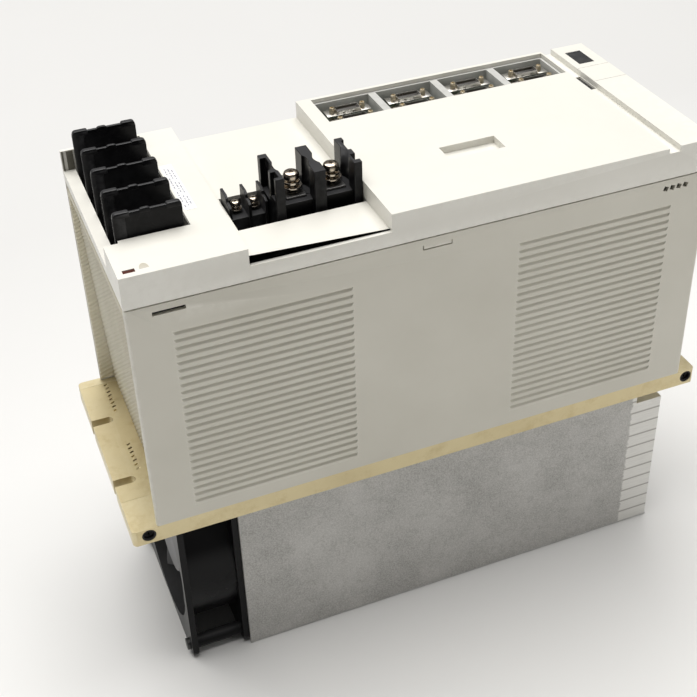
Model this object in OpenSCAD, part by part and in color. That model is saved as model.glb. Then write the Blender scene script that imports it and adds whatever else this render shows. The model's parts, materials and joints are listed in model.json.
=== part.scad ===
// Servo drive, 150 mm wide class, lying on its heat sink with the front cover up.
// Units are millimetres. The origin is the centre of the footprint, on the floor.
// Inside the modules, [u, v, w] is measured from the case: u along the length from the
// terminal end, v across from the near side, w up from the top of the base plate.

/* [Base plate] */
// Length of the base plate over both mounting ends
plate_len = 380; // [370:1:400]
// Thickness of the base plate
plate_t = 11; // [9:1:14]
// Overhang of the plate past the case at the terminal end
overhang_lower = 15; // [14:1:18]
// Distance between the two mounting screws across the plate
mount_pitch = 60; // [50:5:80]
// Width of the open mounting slots
slot_w = 6; // [5:0.5:8]
// Diameter of the upper mounting holes
mount_hole_d = 7; // [6:0.5:8]

/* [Case] */
// Length of the case
case_len = 353; // [350:1:360]
// Width of the case and of the base plate
case_w = 150; // [150:1:156]
// Height of the side case above the base plate
case_h = 152; // [150:1:160]
// Wall thickness of the moulded parts
wall = 2.5; // [2:0.1:3]
// Number of louvres in each side block
louvre_count = 25; // [15:1:30]
// Depth of the louvre relief
louvre_depth = 1.2; // [0.6:0.1:1.5]

/* [Front cover] */
// Height of the terminal end of the cover above the side case
cover_h = 20; // [18:0.5:22]
// Height of the recessed channel above the side case
channel_h = 9.3; // [8:0.1:11]
// Height of the rim that the motor wires leave over
rim_h = 7; // [5:0.5:8]
// Depth of the finger recess
recess_depth = 4.5; // [3:0.5:5]

/* [Heat sink] */
// Depth of the heat sink below the base plate
sink_h = 120; // [115:1:130]
// Inset of the heat sink from each long side
sink_inset = 6; // [5:0.5:8]
// Number of cooling fins
fin_count = 17; // [9:1:21]
// Thickness of a fin
fin_t = 2; // [1.5:0.1:2.5]
// Thickness of the heat sink's outer walls
sink_wall = 4.5; // [3:0.5:6]

/* [Cooling fan] */
// Side of the square fan frame
fan_side = 119.2; // [119:0.1:120]
// Depth of the fan frame
fan_depth = 38; // [36:1:38]
// Number of fan blades
blade_count = 7; // [5:1:9]
// Radial gap between the blades and the duct
blade_gap = 1.5; // [1:0.1:3]

/* [Terminals] */
// Pitch of the main terminal block
main_pitch = 25.4; // [25:0.1:25.6]
// Height of the barriers of the main terminal block above the base plate
main_top = 187; // [180:1:190]
// Height of the barriers of the link terminal block above the base plate
link_top = 185; // [178:1:186]
// Pitch of the link terminals
link_pitch = 23.6; // [23:0.1:24]

/* [Hidden] */
eps = 0.01;
seam = 0.4;
case_x = -plate_len / 2 + overhang_lower;
case_y = -case_w / 2;
plate_z = plate_t + sink_h;
plate_u0 = -overhang_lower;
plate_u1 = plate_len - overhang_lower;
cover_z = case_h;
cover_top = case_h + cover_h;
raised_top = cover_top + 0.4;
strip_top = cover_top + 0.8;
channel_z = case_h + channel_h;
groove_z = cover_top - 2.8;
deck_z = 138;
deck_t = 2;
board_t = 1.6;

// Plan positions of the cover's sections along the length
end_u = 68.5;
channel_u = 148.9;
raised_u = 322.2;
strip_u = 329.8;
lid_v = [95, 116];
pocket_z = 160;

// Openings of the cover, as [low u, high u, low v, high v]
main_open = [7.3, 48, 36, 147.5];
link_open = [73.8, 149.4, 36, 73];
bay_open = [158, 321, 115, 147.4];
finger_open = [203.5, 239, 42, 57];
lamp_open = [3.5, 10, 3.8, 7];

// Base plate cut-out and the pad of the heat sink that fills it
pad = [60, 320, 16, 134];
bracket_v = [27.5, 143];
lower_bracket_u1 = 24;
upper_bracket_u0 = 341;
bracket_screw_u = [18, 347];
mount_v = [case_w / 2 - mount_pitch / 2, case_w / 2 + mount_pitch / 2];
slot_end_u = -1.5 - slot_w / 2;
hole_u = case_len + 5.5;
plug_u = [-5.2, 358.4];
plug_w = -4.9;
plug_d = 8.5;

// Heat sink stations along the length
sink_u = [49.5, 327, 346];
sink_base_t = 12;
sink_end_z = -22;
sheet_t = 1.2;
sink_low = -plate_t - sink_h;

// Fan stations
fan_u0 = sink_u[0] - fan_depth;
fan_c = [sink_inset + 2 + fan_side / 2, -plate_t - 0.2 - fan_side / 2];
fan_flange = 4;
fan_duct_r = 56;
fan_hole = 52.4;
hub_r = 30;
shaft_r = 1.5;
bearing_r = 4.5;
tube_r = 6.5;
rotor_u = [fan_u0 + 3, fan_u0 + 27];

// Main terminal block
main_v0 = 38.8;
main_poles = [for (i = [0:3]) main_v0 + main_pitch * (i + 0.5)];
main_u = [7.4, 45.2];
main_base = 102;
main_seat = 146;
pole_u = 26;

// Link terminal block
link_c = [111.8, 111.8 + link_pitch];
link_v = 54.5;
link_seat = 166.5;
aux_c = [81.1, 91.7];
aux_v = 64;
aux_seat = 156.5;

// Connector bay
bay_bar = [198.5, 241.5, 282];
bay_c = [178, 220, 261.7, 303];
row_v = [122.5, 136.5];
card_z = 149;

// End panel: its station along the length at the plate and at its top
panel_u = [10, 3.4];
panel_top = 145;
rib_pitch = 3.6;
rib_count = 64;

// Lid hinge and rotary switch
lid_hinge = [350.3, 165.6];
lid_pin_r = 1.1;
switch_c = [340.5, 105.5];
knob_r = 3.2;
window = [335, 346, 121.5, 140.5];

// Power parts inside
module_u = [70, 134, 198];
module_size = [56, 104, 20];
cap_c = [[286, 32], [286, 75], [286, 118], [324, 32], [324, 75], [324, 118]];
cap_r = 17.5;
cap_h = 82;
drive_board_z = 34;
post_uv = [[66, 18], [66, 132], [258, 18], [258, 132]];
deck_leg_uv = [[58, 5], [58, 139], [310, 5], [310, 139]];
cover_post_uv = [[64, 8], [64, 142], [153.5, 8], [153.5, 142], [325.5, 8], [325.5, 142]];

cream = [0.93, 0.92, 0.88];
caseGrey = [0.86, 0.85, 0.80];
gold = [0.78, 0.71, 0.50];
black = [0.10, 0.10, 0.11];
steel = [0.75, 0.75, 0.76];
alu = [0.60, 0.60, 0.60];
copper = [0.80, 0.48, 0.30];
boardGreen = [0.10, 0.36, 0.22];

// Moves case coordinates to the origin of the part
module seat() {
    translate([case_x, case_y, plate_z]) children();
}

// Box between two opposite corners
module slab(a, b) {
    translate(a) cube(b - a);
}

// Box over an [u0, u1, v0, v1] area between two heights
module area(a, w0, w1) {
    slab([a[0], a[2], w0], [a[1], a[3], w1]);
}

// Upright rod
module rod(u, v, w0, w1, r, fn = 48) {
    translate([u, v, w0]) cylinder(h = w1 - w0, r = r, $fn = fn);
}

// Rod along the length
module rod_u(u0, u1, v, w, r, fn = 48) {
    translate([u0, v, w]) rotate([0, 90, 0]) cylinder(h = u1 - u0, r = r, $fn = fn);
}

// Rod across the width
module rod_v(u, v0, v1, w, r, fn = 48) {
    translate([u, v0, w]) rotate([-90, 0, 0]) cylinder(h = v1 - v0, r = r, $fn = fn);
}

// Flat outline with four true round corners
module round_rect(x0, x1, y0, y1, r) {
    translate([x0 + r, y0]) square([x1 - x0 - 2 * r, y1 - y0]);
    translate([x0, y0 + r]) square([x1 - x0, y1 - y0 - 2 * r]);
    for (x = [x0 + r, x1 - r], y = [y0 + r, y1 - r]) translate([x, y]) circle(r = r, $fn = 48);
}

// Pan head screw standing on w, with a cross recess
module pan_screw(u, v, w, d, shank, fn = 48) {
    head_r = d * 0.95;
    head_h = d * 0.6;
    difference() {
        union() {
            rod(u, v, w, w + head_h * 0.6, head_r, fn);
            translate([u, v, w + head_h * 0.6 - eps])
                cylinder(h = head_h * 0.4, r1 = head_r, r2 = head_r * 0.7, $fn = fn);
            if (shank > 0) rod(u, v, w - shank, w + eps, d / 2, fn);
        }
        cross_recess(u, v, w + head_h, d);
    }
}

// Cross recess cut down from w
module cross_recess(u, v, w, d) {
    for (a = [0, 90]) translate([u, v, w]) rotate([0, 0, a + 20])
        translate([-d * 0.55, -d * 0.1, -d * 0.35]) cube([d * 1.1, d * 0.2, d]);
}

module base_plate() {
    color(gold) seat() difference() {
        translate([0, 0, -plate_t]) linear_extrude(plate_t)
            round_rect(plate_u0, plate_u1, 0, case_w, 3);
        slab([pad[0] - 0.5, pad[2] - 0.5, -plate_t - 1], [pad[1] + 0.5, pad[3] + 0.5, 1]);
        slab([plate_u0 - 1, bracket_v[0], -plate_t - 1], [lower_bracket_u1, bracket_v[1], 1]);
        slab([upper_bracket_u0, bracket_v[0], -plate_t - 1], [plate_u1 + 1, bracket_v[1], 1]);
        for (u = plug_u) {
            rod_v(u, -1, 7, plug_w, plug_d / 2);
            rod_v(u, case_w - 7, case_w + 1, plug_w, plug_d / 2);
        }
        rod(38, 139, -plate_t - 1, 1, 4);
    }
}

// Cast mounting bracket with two slots open to the end
module lower_mounting_bracket() {
    color(gold) seat() difference() {
        slab([plate_u0, bracket_v[0] + 0.15, -plate_t],
             [lower_bracket_u1 - 0.15, bracket_v[1] - 0.15, 0]);
        for (v = mount_v) {
            rod(slot_end_u, v, -plate_t - 1, 1, slot_w / 2);
            slab([plate_u0 - 1, v - slot_w / 2, -plate_t - 1], [slot_end_u, v + slot_w / 2, 1]);
        }
        for (v = [75, 130]) rod(bracket_screw_u[0], v, -8, 1, 1.6);
        for (i = [0:7]) vent(1.9, 113 + 4 * i);
        for (i = [0:6]) vent(1.9, 53 + 4 * i);
    }
}

// Small slanted vent in the bracket, in front of the end panel
module vent(u, v) {
    translate([u, v, -3]) rotate([0, 0, 28]) slab([-1.4, -0.6, 0], [1.4, 0.6, 4]);
}

// Mounting bracket with two round holes at the connector end
module upper_mounting_bracket() {
    color(gold) seat() difference() {
        slab([upper_bracket_u0 + 0.15, bracket_v[0] + 0.15, -plate_t],
             [plate_u1, bracket_v[1] - 0.15, 0]);
        for (v = mount_v) rod(hole_u, v, -plate_t - 1, 1, mount_hole_d / 2);
        for (v = [75, 130]) rod(bracket_screw_u[1], v, -8, 1, 1.6);
    }
}

// Screws that close the ends of the plate's cross bores
module side_plug_screws() {
    color(black) seat() for (u = plug_u, side = [0, 1])
        translate([u, side * case_w, plug_w]) rotate([-90, 0, 180 * side]) translate([0, 0, 0.4])
            difference() {
                cylinder(h = 6.5, r = plug_d / 2, $fn = 48);
                translate([0, 0, -1]) cylinder(h = 2.2, r = 3.1, $fn = 48);
                for (a = [0, 90]) rotate([0, 0, a]) translate([-2.2, -0.45, 0]) cube([4.4, 0.9, 3]);
            }
}

// Screws that hold the two brackets down, under the case
module bracket_screws() {
    color(steel) seat() for (u = bracket_screw_u, v = [75, 130]) pan_screw(u, v, 0, 3.2, 7);
}

module heat_sink() {
    low = sink_low + sheet_t;
    fins_w = case_w - 2 * (sink_inset + sink_wall);
    step = fins_w / (fin_count + 1);
    color(alu) seat() difference() {
        union() {
            slab([sink_u[0], sink_inset, -plate_t - sink_base_t],
                 [sink_u[1], case_w - sink_inset, -plate_t]);
            slab([sink_u[1] - eps, sink_inset, sink_end_z - sink_base_t],
                 [sink_u[2], case_w - sink_inset, sink_end_z]);
            area(pad, -plate_t - eps, 0);
            for (v = [sink_inset, case_w - sink_inset - sink_wall]) {
                slab([sink_u[0], v, low], [sink_u[1], v + sink_wall, -plate_t - sink_base_t + eps]);
                slab([sink_u[1] - eps, v, low], [sink_u[2], v + sink_wall, sink_end_z - eps]);
            }
            for (i = [1:fin_count]) {
                v = sink_inset + sink_wall + i * step - fin_t / 2;
                slab([sink_u[0] + 12, v, low], [sink_u[1] - 6, v + fin_t, -plate_t - sink_base_t + eps]);
                slab([sink_u[1] - 6 - eps, v, low],
                     [sink_u[2] - 4, v + fin_t, sink_end_z - sink_base_t + eps]);
            }
        }
        for (u = module_u, du = [6, module_size[0] - 6], v = [29, 121]) rod(u + du, v, -9, 1, 2);
        for (p = post_uv) rod(p[0], p[1], -9, 1, 1.5);
        for (a = [-1, 1])
            rod_u(sink_u[0] - 1, sink_u[0] + 7, fan_c[0] + a * fan_hole, fan_c[1] + fan_hole, 2);
    }
}

// Thin sheet that closes the air duct below the fins
module sink_bottom_sheet() {
    color(steel) seat() slab([sink_u[0], sink_inset, sink_low],
                             [sink_u[2] + 1, case_w - sink_inset, sink_low + sheet_t]);
}

// Sheet between the fan and the fins, open over the fan's duct
module fan_adapter_plate() {
    v0 = sink_inset + sink_wall;
    color(steel) seat() difference() {
        slab([sink_u[0], v0, sink_low + sheet_t], [sink_u[0] + 1.5, case_w - v0, -plate_t - sink_base_t]);
        rod_u(sink_u[0] - 1, sink_u[0] + 3, fan_c[0], fan_c[1], fan_duct_r - 2, 64);
        for (a = [-1, 1], b = [-1, 1])
            rod_u(sink_u[0] - 1, sink_u[0] + 3, fan_c[0] + a * fan_hole, fan_c[1] + b * fan_hole, 2);
    }
}

module fan_frame() {
    half = fan_side / 2;
    color(black) seat() difference() {
        union() {
            for (u = [fan_u0, sink_u[0] - fan_flange])
                translate([u, fan_c[0], fan_c[1]]) rotate([90, 0, 90]) linear_extrude(fan_flange)
                    round_rect(-half, half, -half, half, 5);
            rod_u(fan_u0 + 1, sink_u[0] - 1, fan_c[0], fan_c[1], fan_duct_r + 1.6, 64);
            for (a = [-1, 1], b = [-1, 1])
                rod_u(fan_u0 + 1, sink_u[0] - 1, fan_c[0] + a * fan_hole, fan_c[1] + b * fan_hole, 4.4);
        }
        difference() {
            rod_u(fan_u0 - 2, sink_u[0] + 1, fan_c[0], fan_c[1], fan_duct_r, 64);
            rod_u(rotor_u[1] + 3, sink_u[0], fan_c[0], fan_c[1], hub_r - 2, 64);
            rod_u(rotor_u[0] + 6, sink_u[0], fan_c[0], fan_c[1], tube_r);
            for (a = [45:90:315]) translate([0, fan_c[0], fan_c[1]]) rotate([a, 0, 0])
                slab([sink_u[0] - 5, 20, -3], [sink_u[0] - 1, fan_duct_r + 1, 3]);
        }
        rod_u(rotor_u[0] + 5, sink_u[0] - 3, fan_c[0], fan_c[1], bearing_r);
        for (a = [-1, 1], b = [-1, 1])
            rod_u(fan_u0 - 1, sink_u[0] + 1, fan_c[0] + a * fan_hole, fan_c[1] + b * fan_hole, 2.2);
    }
}

// Fan rotor: a cup round the stator and twisted flat blades
module fan_rotor() {
    len = rotor_u[1] - rotor_u[0];
    color(black) seat() translate([rotor_u[0], fan_c[0], fan_c[1]]) rotate([0, 90, 0]) {
        difference() {
            cylinder(h = len, r = hub_r, $fn = 64);
            translate([0, 0, 3]) cylinder(h = len, r = hub_r - 3, $fn = 64);
            translate([0, 0, -1]) cylinder(h = 5, r = shaft_r, $fn = 48);
        }
        for (i = [0:blade_count - 1]) rotate([0, 0, i * 360 / blade_count])
            intersection() {
                difference() {
                    translate([0, 0, 0.5]) cylinder(h = len - 1, r = fan_duct_r - blade_gap, $fn = 64);
                    translate([0, 0, -1]) cylinder(h = len + 2, r = hub_r - 0.5, $fn = 64);
                }
                translate([hub_r - 2, 0, len / 2]) rotate([42, 0, 0])
                    translate([0, -18, -1]) cube([fan_duct_r, 36, 2]);
            }
    }
}

module fan_shaft() {
    color(steel) seat() rod_u(rotor_u[0], sink_u[0] - 4, fan_c[0], fan_c[1], shaft_r);
}

// Two ball bearings, each as an outer ring in the frame's tube
module fan_bearings() {
    color(steel) seat() for (u = [rotor_u[0] + 6.2, sink_u[0] - 7]) difference() {
        rod_u(u, u + 4, fan_c[0], fan_c[1], bearing_r - 0.02);
        rod_u(u - 1, u + 5, fan_c[0], fan_c[1], shaft_r + 0.05);
    }
}

// Stator: laminated poles and windings round the bearing tube
module fan_stator() {
    color(copper) seat() difference() {
        union() {
            rod_u(rotor_u[0] + 8, rotor_u[1] + 3, fan_c[0], fan_c[1], 12);
            for (a = [0:60:300]) translate([0, fan_c[0], fan_c[1]]) rotate([a, 0, 0])
                slab([rotor_u[0] + 8, 8, -5], [rotor_u[1] - 1, 24, 5]);
        }
        rod_u(rotor_u[0] + 4, rotor_u[1] + 5, fan_c[0], fan_c[1], tube_r + 0.05);
    }
}

module fan_screws() {
    color(black) seat() for (a = [-1, 1], b = [-1, 1]) {
        v = fan_c[0] + a * fan_hole;
        w = fan_c[1] + b * fan_hole;
        rod_u(fan_u0 - 2.4, fan_u0, v, w, 3.8);
        rod_u(fan_u0 - eps, sink_u[0] + 5, v, w, 1.95);
    }
}

// Fan lead, held from the fan's side up into the case
module fan_lead() {
    path = [[30, fan_c[0] + fan_duct_r + 3.2, -66], [38, 139, -60], [38, 139, 28], [60, 134, 34.8]];
    color(black) seat() for (i = [0:2]) hull() for (p = [path[i], path[i + 1]])
        translate(p) sphere(r = 1.8, $fn = 16);
}

module lead_grommet() {
    color(black) seat() difference() {
        union() {
            rod(38, 139, -plate_t - 1.5, 1.5, 3.9);
            rod(38, 139, 0, 1.5, 6);
            rod(38, 139, -plate_t - 1.5, -plate_t, 6);
        }
        rod(38, 139, -plate_t - 3, 3, 1.9);
    }
}

// Grooves between the louvres of one block, cut into a wall whose face is at v = 0
module louvre_cut(u0, u1, w0, w1) {
    step = (w1 - w0) / louvre_count;
    translate([u0, 0, 0]) rotate([90, 0, 90]) linear_extrude(u1 - u0) for (i = [0:louvre_count - 1])
        translate([0, w1 - i * step]) polygon([[-0.5, 0.2], [louvre_depth, 0], [-0.5, -1.9]]);
}

// Openings of one side wall whose face is at v = 0
module side_openings() {
    louvre_cut(24, 125.5, 7.5, 132.5);
    louvre_cut(227.5, 328, 9, 134);
    slab([14.5, -1, 145], [32.6, wall + 1, 147.6]);
    difference() {
        slab([167.3, -1, 144.6], [185.2, wall + 1, 147.4]);
        slab([167.9, -2, 145.4], [184.6, wall + 2, 148]);
    }
    for (i = [0:3]) translate([321 + 4.4 * i, 0, 145]) rotate([0, 20, 0])
        slab([0, -1, 0], [3.2, wall + 1, 3]);
}

// Fine ribs on the inner face of a side wall, in front of the end panel
module end_ribs() {
    profile = concat([[wall + 1, 3]], [for (i = [0:46], k = [0:1])
        [wall - (k == 0 ? 0 : 0.5), 3 + 3 * i + 1.5 * k]], [[wall, 144], [wall + 1, 144]]);
    translate([-1, 0, 0]) rotate([90, 0, 90]) linear_extrude(10.5) polygon(profile);
}

module side_case() {
    color(caseGrey) seat() {
        difference() {
            linear_extrude(case_h - seam) difference() {
                round_rect(0, case_len, 0, case_w, 2);
                translate([-5, wall]) square([case_len - wall + 5, case_w - 2 * wall]);
            }
            side_openings();
            translate([0, case_w, 0]) mirror([0, 1, 0]) side_openings();
            for (m = [0, 1]) translate([0, m * case_w, 0]) mirror([0, m, 0]) end_ribs();
            for (i = [0:17], j = [0, 1])
                slab([case_len - wall - 1, 18 + j * 62, 14 + 7 * i], [case_len + 1, 70 + j * 62, 17 + 7 * i]);
        }
        for (u = [20, 330], v = [wall - eps, case_w - wall - 8 + eps]) difference() {
            slab([u, v, 0], [u + 10, v + 8, 5]);
            rod(u + 5, v + 4, -1, 6, 1.7);
        }
    }
}

module case_screws() {
    color(steel) seat() for (u = [25, 335], v = [wall + 4, case_w - wall - 4]) pan_screw(u, v, 5, 3, 5);
}

// Ribbed grille set back between the side walls at the terminal end, leaning outward
module end_panel() {
    color([0.80, 0.77, 0.66]) seat() difference() {
        union() {
            translate([0, case_w - wall - 0.2, 0]) rotate([90, 0, 0])
                linear_extrude(case_w - 2 * wall - 0.4) polygon([[panel_u[0], 0], [panel_u[0] + 1.4, 0],
                    [panel_u[1] + 1.4, panel_top], [panel_u[1], panel_top]]);
            slab([0.2, wall + 0.2, panel_top - 0.4],
                 [panel_u[1] + 1.4, case_w - wall - 0.2, panel_top + 2.6]);
        }
        intersection() {
            slab([-1, 8, 8], [14, 142, 138]);
            for (i = [0:rib_count - 1]) translate([0, 142, -88 + rib_pitch * i]) rotate([-34, 0, 0])
                slab([-1, -200, 0], [14, 20, 1.3]);
        }
    }
}

// Solid outline of the cover's stepped top, lowered by d and inset by s
module cover_block(d, s) {
    z0 = cover_z - (s > 0 ? 1 : 0);
    slab([s, s, z0], [case_len - s, case_w - s, channel_z - d]);
    slab([s, s, z0], [end_u - s, case_w - s, cover_top - d]);
    slab([channel_u + s, s, z0], [raised_u - s, case_w - s, raised_top - d]);
    slab([channel_u + s, s, z0], [case_len - s, case_w - s, groove_z - d]);
    slab([strip_u + s, s, z0], [case_len - s, case_w - s, strip_top - d]);
}

module front_cover() {
    color(cream) seat() difference() {
        union() {
            difference() {
                cover_block(0, 0);
                cover_block(wall, wall);
            }
            slab([0, 33, cover_z], [main_open[0], case_w, cover_z + rim_h]);
            area([finger_open[0] - 2, finger_open[1] + 2, finger_open[2] - 2, finger_open[3] + 2],
                 raised_top - recess_depth - 2, raised_top - 1);
            for (m = [0, 1]) translate([0, m * case_w, 0]) mirror([0, m, 0]) {
                slab([30, wall + 0.15, cover_z - 5], [320, wall + 1.6, cover_z + 4]);
                slab([30, wall - 0.5, cover_z + 0.3], [320, wall + 0.3, cover_z + 4]);
            }
            for (v = [100, 144.5]) rod(334.5, v, 154.4 + board_t, pocket_z - wall + eps, 2.2);
            slab([strip_u, lid_v[0] - wall, pocket_z - wall], [case_len, case_w, pocket_z]);
            slab([strip_u, lid_v[0] - wall, pocket_z - eps], [case_len, lid_v[0], strip_top]);
            for (p = cover_post_uv) rod(p[0], p[1], deck_z + deck_t, cover_z + 1, 3.6);
            intersection() {
                cover_block(0, 0);
                for (p = cover_post_uv) rod(p[0], p[1], cover_z, strip_top, 3.6);
            }
        }
        area(main_open, cover_z - 1, cover_top + 1);
        slab([-1, 33.5, cover_z + rim_h], [main_open[0] + 1, main_open[3], cover_top + 1]);
        area(link_open, cover_z - 1, channel_z + 1);
        area([link_open[0], channel_u, link_open[2], link_open[3]], cover_z - 1, cover_top + 1);
        area(bay_open, cover_z - 1, raised_top + 1);
        area(finger_open, raised_top - recess_depth, raised_top + 1);
        area(lamp_open, cover_z - 1, cover_top + 1);
        slab([strip_u + 0.3, lid_v[0], pocket_z], [case_len + 1, case_w + 1, strip_top + 1]);
        slab([324, 91.5, groove_z - 1.6], [strip_u - 0.4, 111, groove_z + 1]);
        slab([334.8, 98, pocket_z - wall - 1], [346.4, 142.4, pocket_z + 1]);
        rod_v(lid_hinge[0], lid_v[0] - wall - 1, lid_v[0] + 1, lid_hinge[1], lid_pin_r + 0.06);
        for (p = cover_post_uv) rod(p[0], p[1], deck_z, channel_z - 3, 1.5);
    }
}

// Screws that come up through the deck into the cover's posts
module cover_screws() {
    color(steel) seat() for (p = cover_post_uv) {
        rod(p[0], p[1], deck_z - 1.8, deck_z, 3);
        rod(p[0], p[1], deck_z - eps, channel_z - 6, 1.48);
    }
}

module lamp_lens() {
    color([0.35, 0.08, 0.06]) seat()
        area([lamp_open[0] + 0.05, lamp_open[1] - 0.05, lamp_open[2] + 0.05, lamp_open[3] - 0.05],
             cover_top - wall - 0.8, cover_top - 0.4);
}

module charge_lamp() {
    u = (lamp_open[0] + lamp_open[1]) / 2;
    v = (lamp_open[2] + lamp_open[3]) / 2;
    color([0.8, 0.1, 0.1]) seat() {
        rod(u, v, cover_z + 8, cover_top - wall - 0.9, 1.5);
        rod(u, v, cover_z + 6, cover_z + 8 + eps, 1.9);
    }
}

module terminal_label() {
    color("white") seat() area([49, 56, 51, 105], cover_top, cover_top + 0.15);
}

// Cover piece round the display, set into the corner pocket
module display_bezel() {
    a = [strip_u + 0.4, case_len, lid_v[1], case_w];
    color([0.95, 0.95, 0.95]) seat() difference() {
        area(a, pocket_z, strip_top);
        area([a[0] + 1.8, a[1] - 1.8, a[2] + 2.2, a[3] - 1.8], pocket_z - 1, strip_top - 1.8);
        area(window, pocket_z, strip_top + 1);
        rod_v(lid_hinge[0], a[2] - 1, a[2] + 3, lid_hinge[1], lid_pin_r + 0.06);
    }
}

module display_window() {
    color([0.05, 0.05, 0.06]) seat()
        area([window[0] + 0.05, window[1] - 0.05, window[2] + 0.05, window[3] - 0.05],
             strip_top - 1.8, strip_top - 0.3);
}

// Two digit blocks with their segments raised
module digit_module() {
    z = 156.1;
    color([0.12, 0.12, 0.13]) seat() for (v = [122.4, 131.2]) {
        slab([336.2, v, z], [345, v + 8.4, z + 13.4]);
        for (u = [337.4, 340.6, 343.8]) slab([u - 0.4, v + 2, z + 13.4 - eps], [u + 0.4, v + 6.4, z + 13.7]);
    }
}

module display_board() {
    color(boardGreen) seat() difference() {
        slab([332, 97.5, 154.4], [349, 147, 154.4 + board_t]);
        for (v = [100, 144.5]) rod(334.5, v, 150, 160, 1.2);
    }
}

// Lid over the address switch, hinged at the outer end
module switch_lid() {
    u0 = strip_u + 0.5;
    v0 = lid_v[0] + 0.4;
    v1 = lid_v[1] - 0.4;
    color(cream) seat() {
        difference() {
            slab([u0, v0, strip_top - 5], [case_len, v1, strip_top]);
            slab([u0 + 1.4, v0 + 1.4, strip_top - 6], [case_len - 1.4, v1 - 1.4, strip_top - 1.6]);
        }
        slab([u0 - 0.01, v1 - 6, strip_top - 6.2], [u0 + 1.2, v1 - 3, strip_top - 4.9]);
        for (v = [v0, v1 - 2]) {
            rod_v(lid_hinge[0], v, v + 2, lid_hinge[1], 2.4);
            slab([lid_hinge[0] - 2.4, v, lid_hinge[1]], [lid_hinge[0] + 2.4, v + 2, strip_top - 1.5]);
        }
        rod_v(lid_hinge[0], v0 - 1.8, v0 + eps, lid_hinge[1], lid_pin_r);
        rod_v(lid_hinge[0], v1 - eps, v1 + 1.8, lid_hinge[1], lid_pin_r);
    }
}

module rotary_switch() {
    z = 154.4 + board_t;
    color([0.15, 0.15, 0.16]) seat() difference() {
        slab([switch_c[0] - 5, switch_c[1] - 5, z], [switch_c[0] + 5, switch_c[1] + 5, z + 8]);
        rod(switch_c[0], switch_c[1], z + 2, z + 9, knob_r + 0.05);
    }
}

module switch_knob() {
    z = 154.4 + board_t;
    color([0.95, 0.95, 0.92]) seat() difference() {
        rod(switch_c[0], switch_c[1], z + 2.1, z + 8.9, knob_r);
        translate([switch_c[0], switch_c[1], z + 8]) {
            slab([-2.6, -0.4, 0], [2.6, 0.4, 2]);
            slab([0.8, -1.1, 0], [1.6, 1.1, 2]);
        }
    }
}

// One barrier of the main terminal block
module main_barrier(v) {
    t = 2.2;
    slab([main_u[0], v - t / 2, main_base], [main_u[1], v + t / 2, main_top - 0.6]);
    slab([main_u[0] + 10.5, v - t / 2, main_top - 1], [main_u[0] + 21, v + t / 2, main_top - 0.1]);
    slab([main_u[0], v - 1.7, main_base], [main_u[0] + 8.6, v + 1.7, main_top]);
    slab([main_u[1] - 7, v - 1.7, main_base], [main_u[1], v + 1.7, main_top]);
}

module main_terminal_block() {
    v1 = main_v0 + 4 * main_pitch;
    color(black) seat() difference() {
        union() {
            slab([main_u[0] + 1, main_v0, main_base], [main_u[1] - 1, v1, main_seat]);
            for (i = [0:4]) main_barrier(main_v0 + i * main_pitch);
            slab([main_u[0] + 6, main_v0 - 6, main_base], [main_u[1] - 6, v1 + 5.6, main_base + 8]);
        }
        for (v = main_poles) rod(pole_u, v, main_seat - 14, main_seat + 1, 3.1);
        for (u = [main_u[0] - 1, main_u[1] + 1], s = [-1, 1], i = [0:4])
            translate([u, main_v0 + i * main_pitch, main_top]) rotate([0, 45, 0])
                cube([3.6, 6, 3.6], center = true);
        for (v = [main_v0 - 4, v1 + 3.4]) rod(pole_u, v, main_base - 1, main_base + 9, 1.7);
    }
}

module main_terminal_plates() {
    color(steel) seat() for (v = main_poles) difference() {
        slab([12, v - 9, main_seat], [main_u[1] + 0.8, v + 9, main_seat + 2]);
        rod(pole_u, v, main_seat - 1, main_seat + 3, 3.1);
    }
}

module main_terminal_screws() {
    color(steel) seat() for (v = main_poles) {
        difference() {
            slab([pole_u - 7, v - 7, main_seat + 2], [pole_u + 7, v + 7, main_seat + 4]);
            rod(pole_u, v, main_seat, main_seat + 5, 3);
        }
        pan_screw(pole_u, v, main_seat + 4, 6, 16);
    }
}

// Sheet bridge that carries the main terminal block
module terminal_bracket() {
    color(steel) seat() difference() {
        union() {
            slab([8, 30, main_base - 2], [44, 147, main_base]);
            for (v = [30, 145]) slab([12.2, v, 0], [19.4, v + 2, main_base - 1]);
        }
        for (v = [main_v0 - 4, main_v0 + 4 * main_pitch + 3.4])
            rod(pole_u, v, main_base - 3, main_base + 1, 1.7);
    }
}

// Flat bars from the main terminals, three to a power module and one to the plate
module phase_bars() {
    u = main_u[1] + 0.8;
    color(copper) seat() for (i = [0:3]) {
        foot = i < 3 ? module_size[2] : 0;
        v = main_poles[i];
        slab([u, v - 6, foot], [u + 2, v + 6, main_seat + 2]);
        slab([u + 1.9, v - 6, foot], [i < 3 ? module_u[0] + 10 : u + 14, v + 6, foot + 2]);
    }
}

// Current sensors, each round one of the three phase bars
module current_sensors() {
    u = main_u[1] + 0.8;
    color([0.15, 0.25, 0.5]) seat() for (i = [0:2]) difference() {
        slab([u - 7, main_poles[i] - 11, 60], [u + 9, main_poles[i] + 11, 78]);
        slab([u, main_poles[i] - 6, 59], [u + 2, main_poles[i] + 6, 79]);
    }
}

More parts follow.
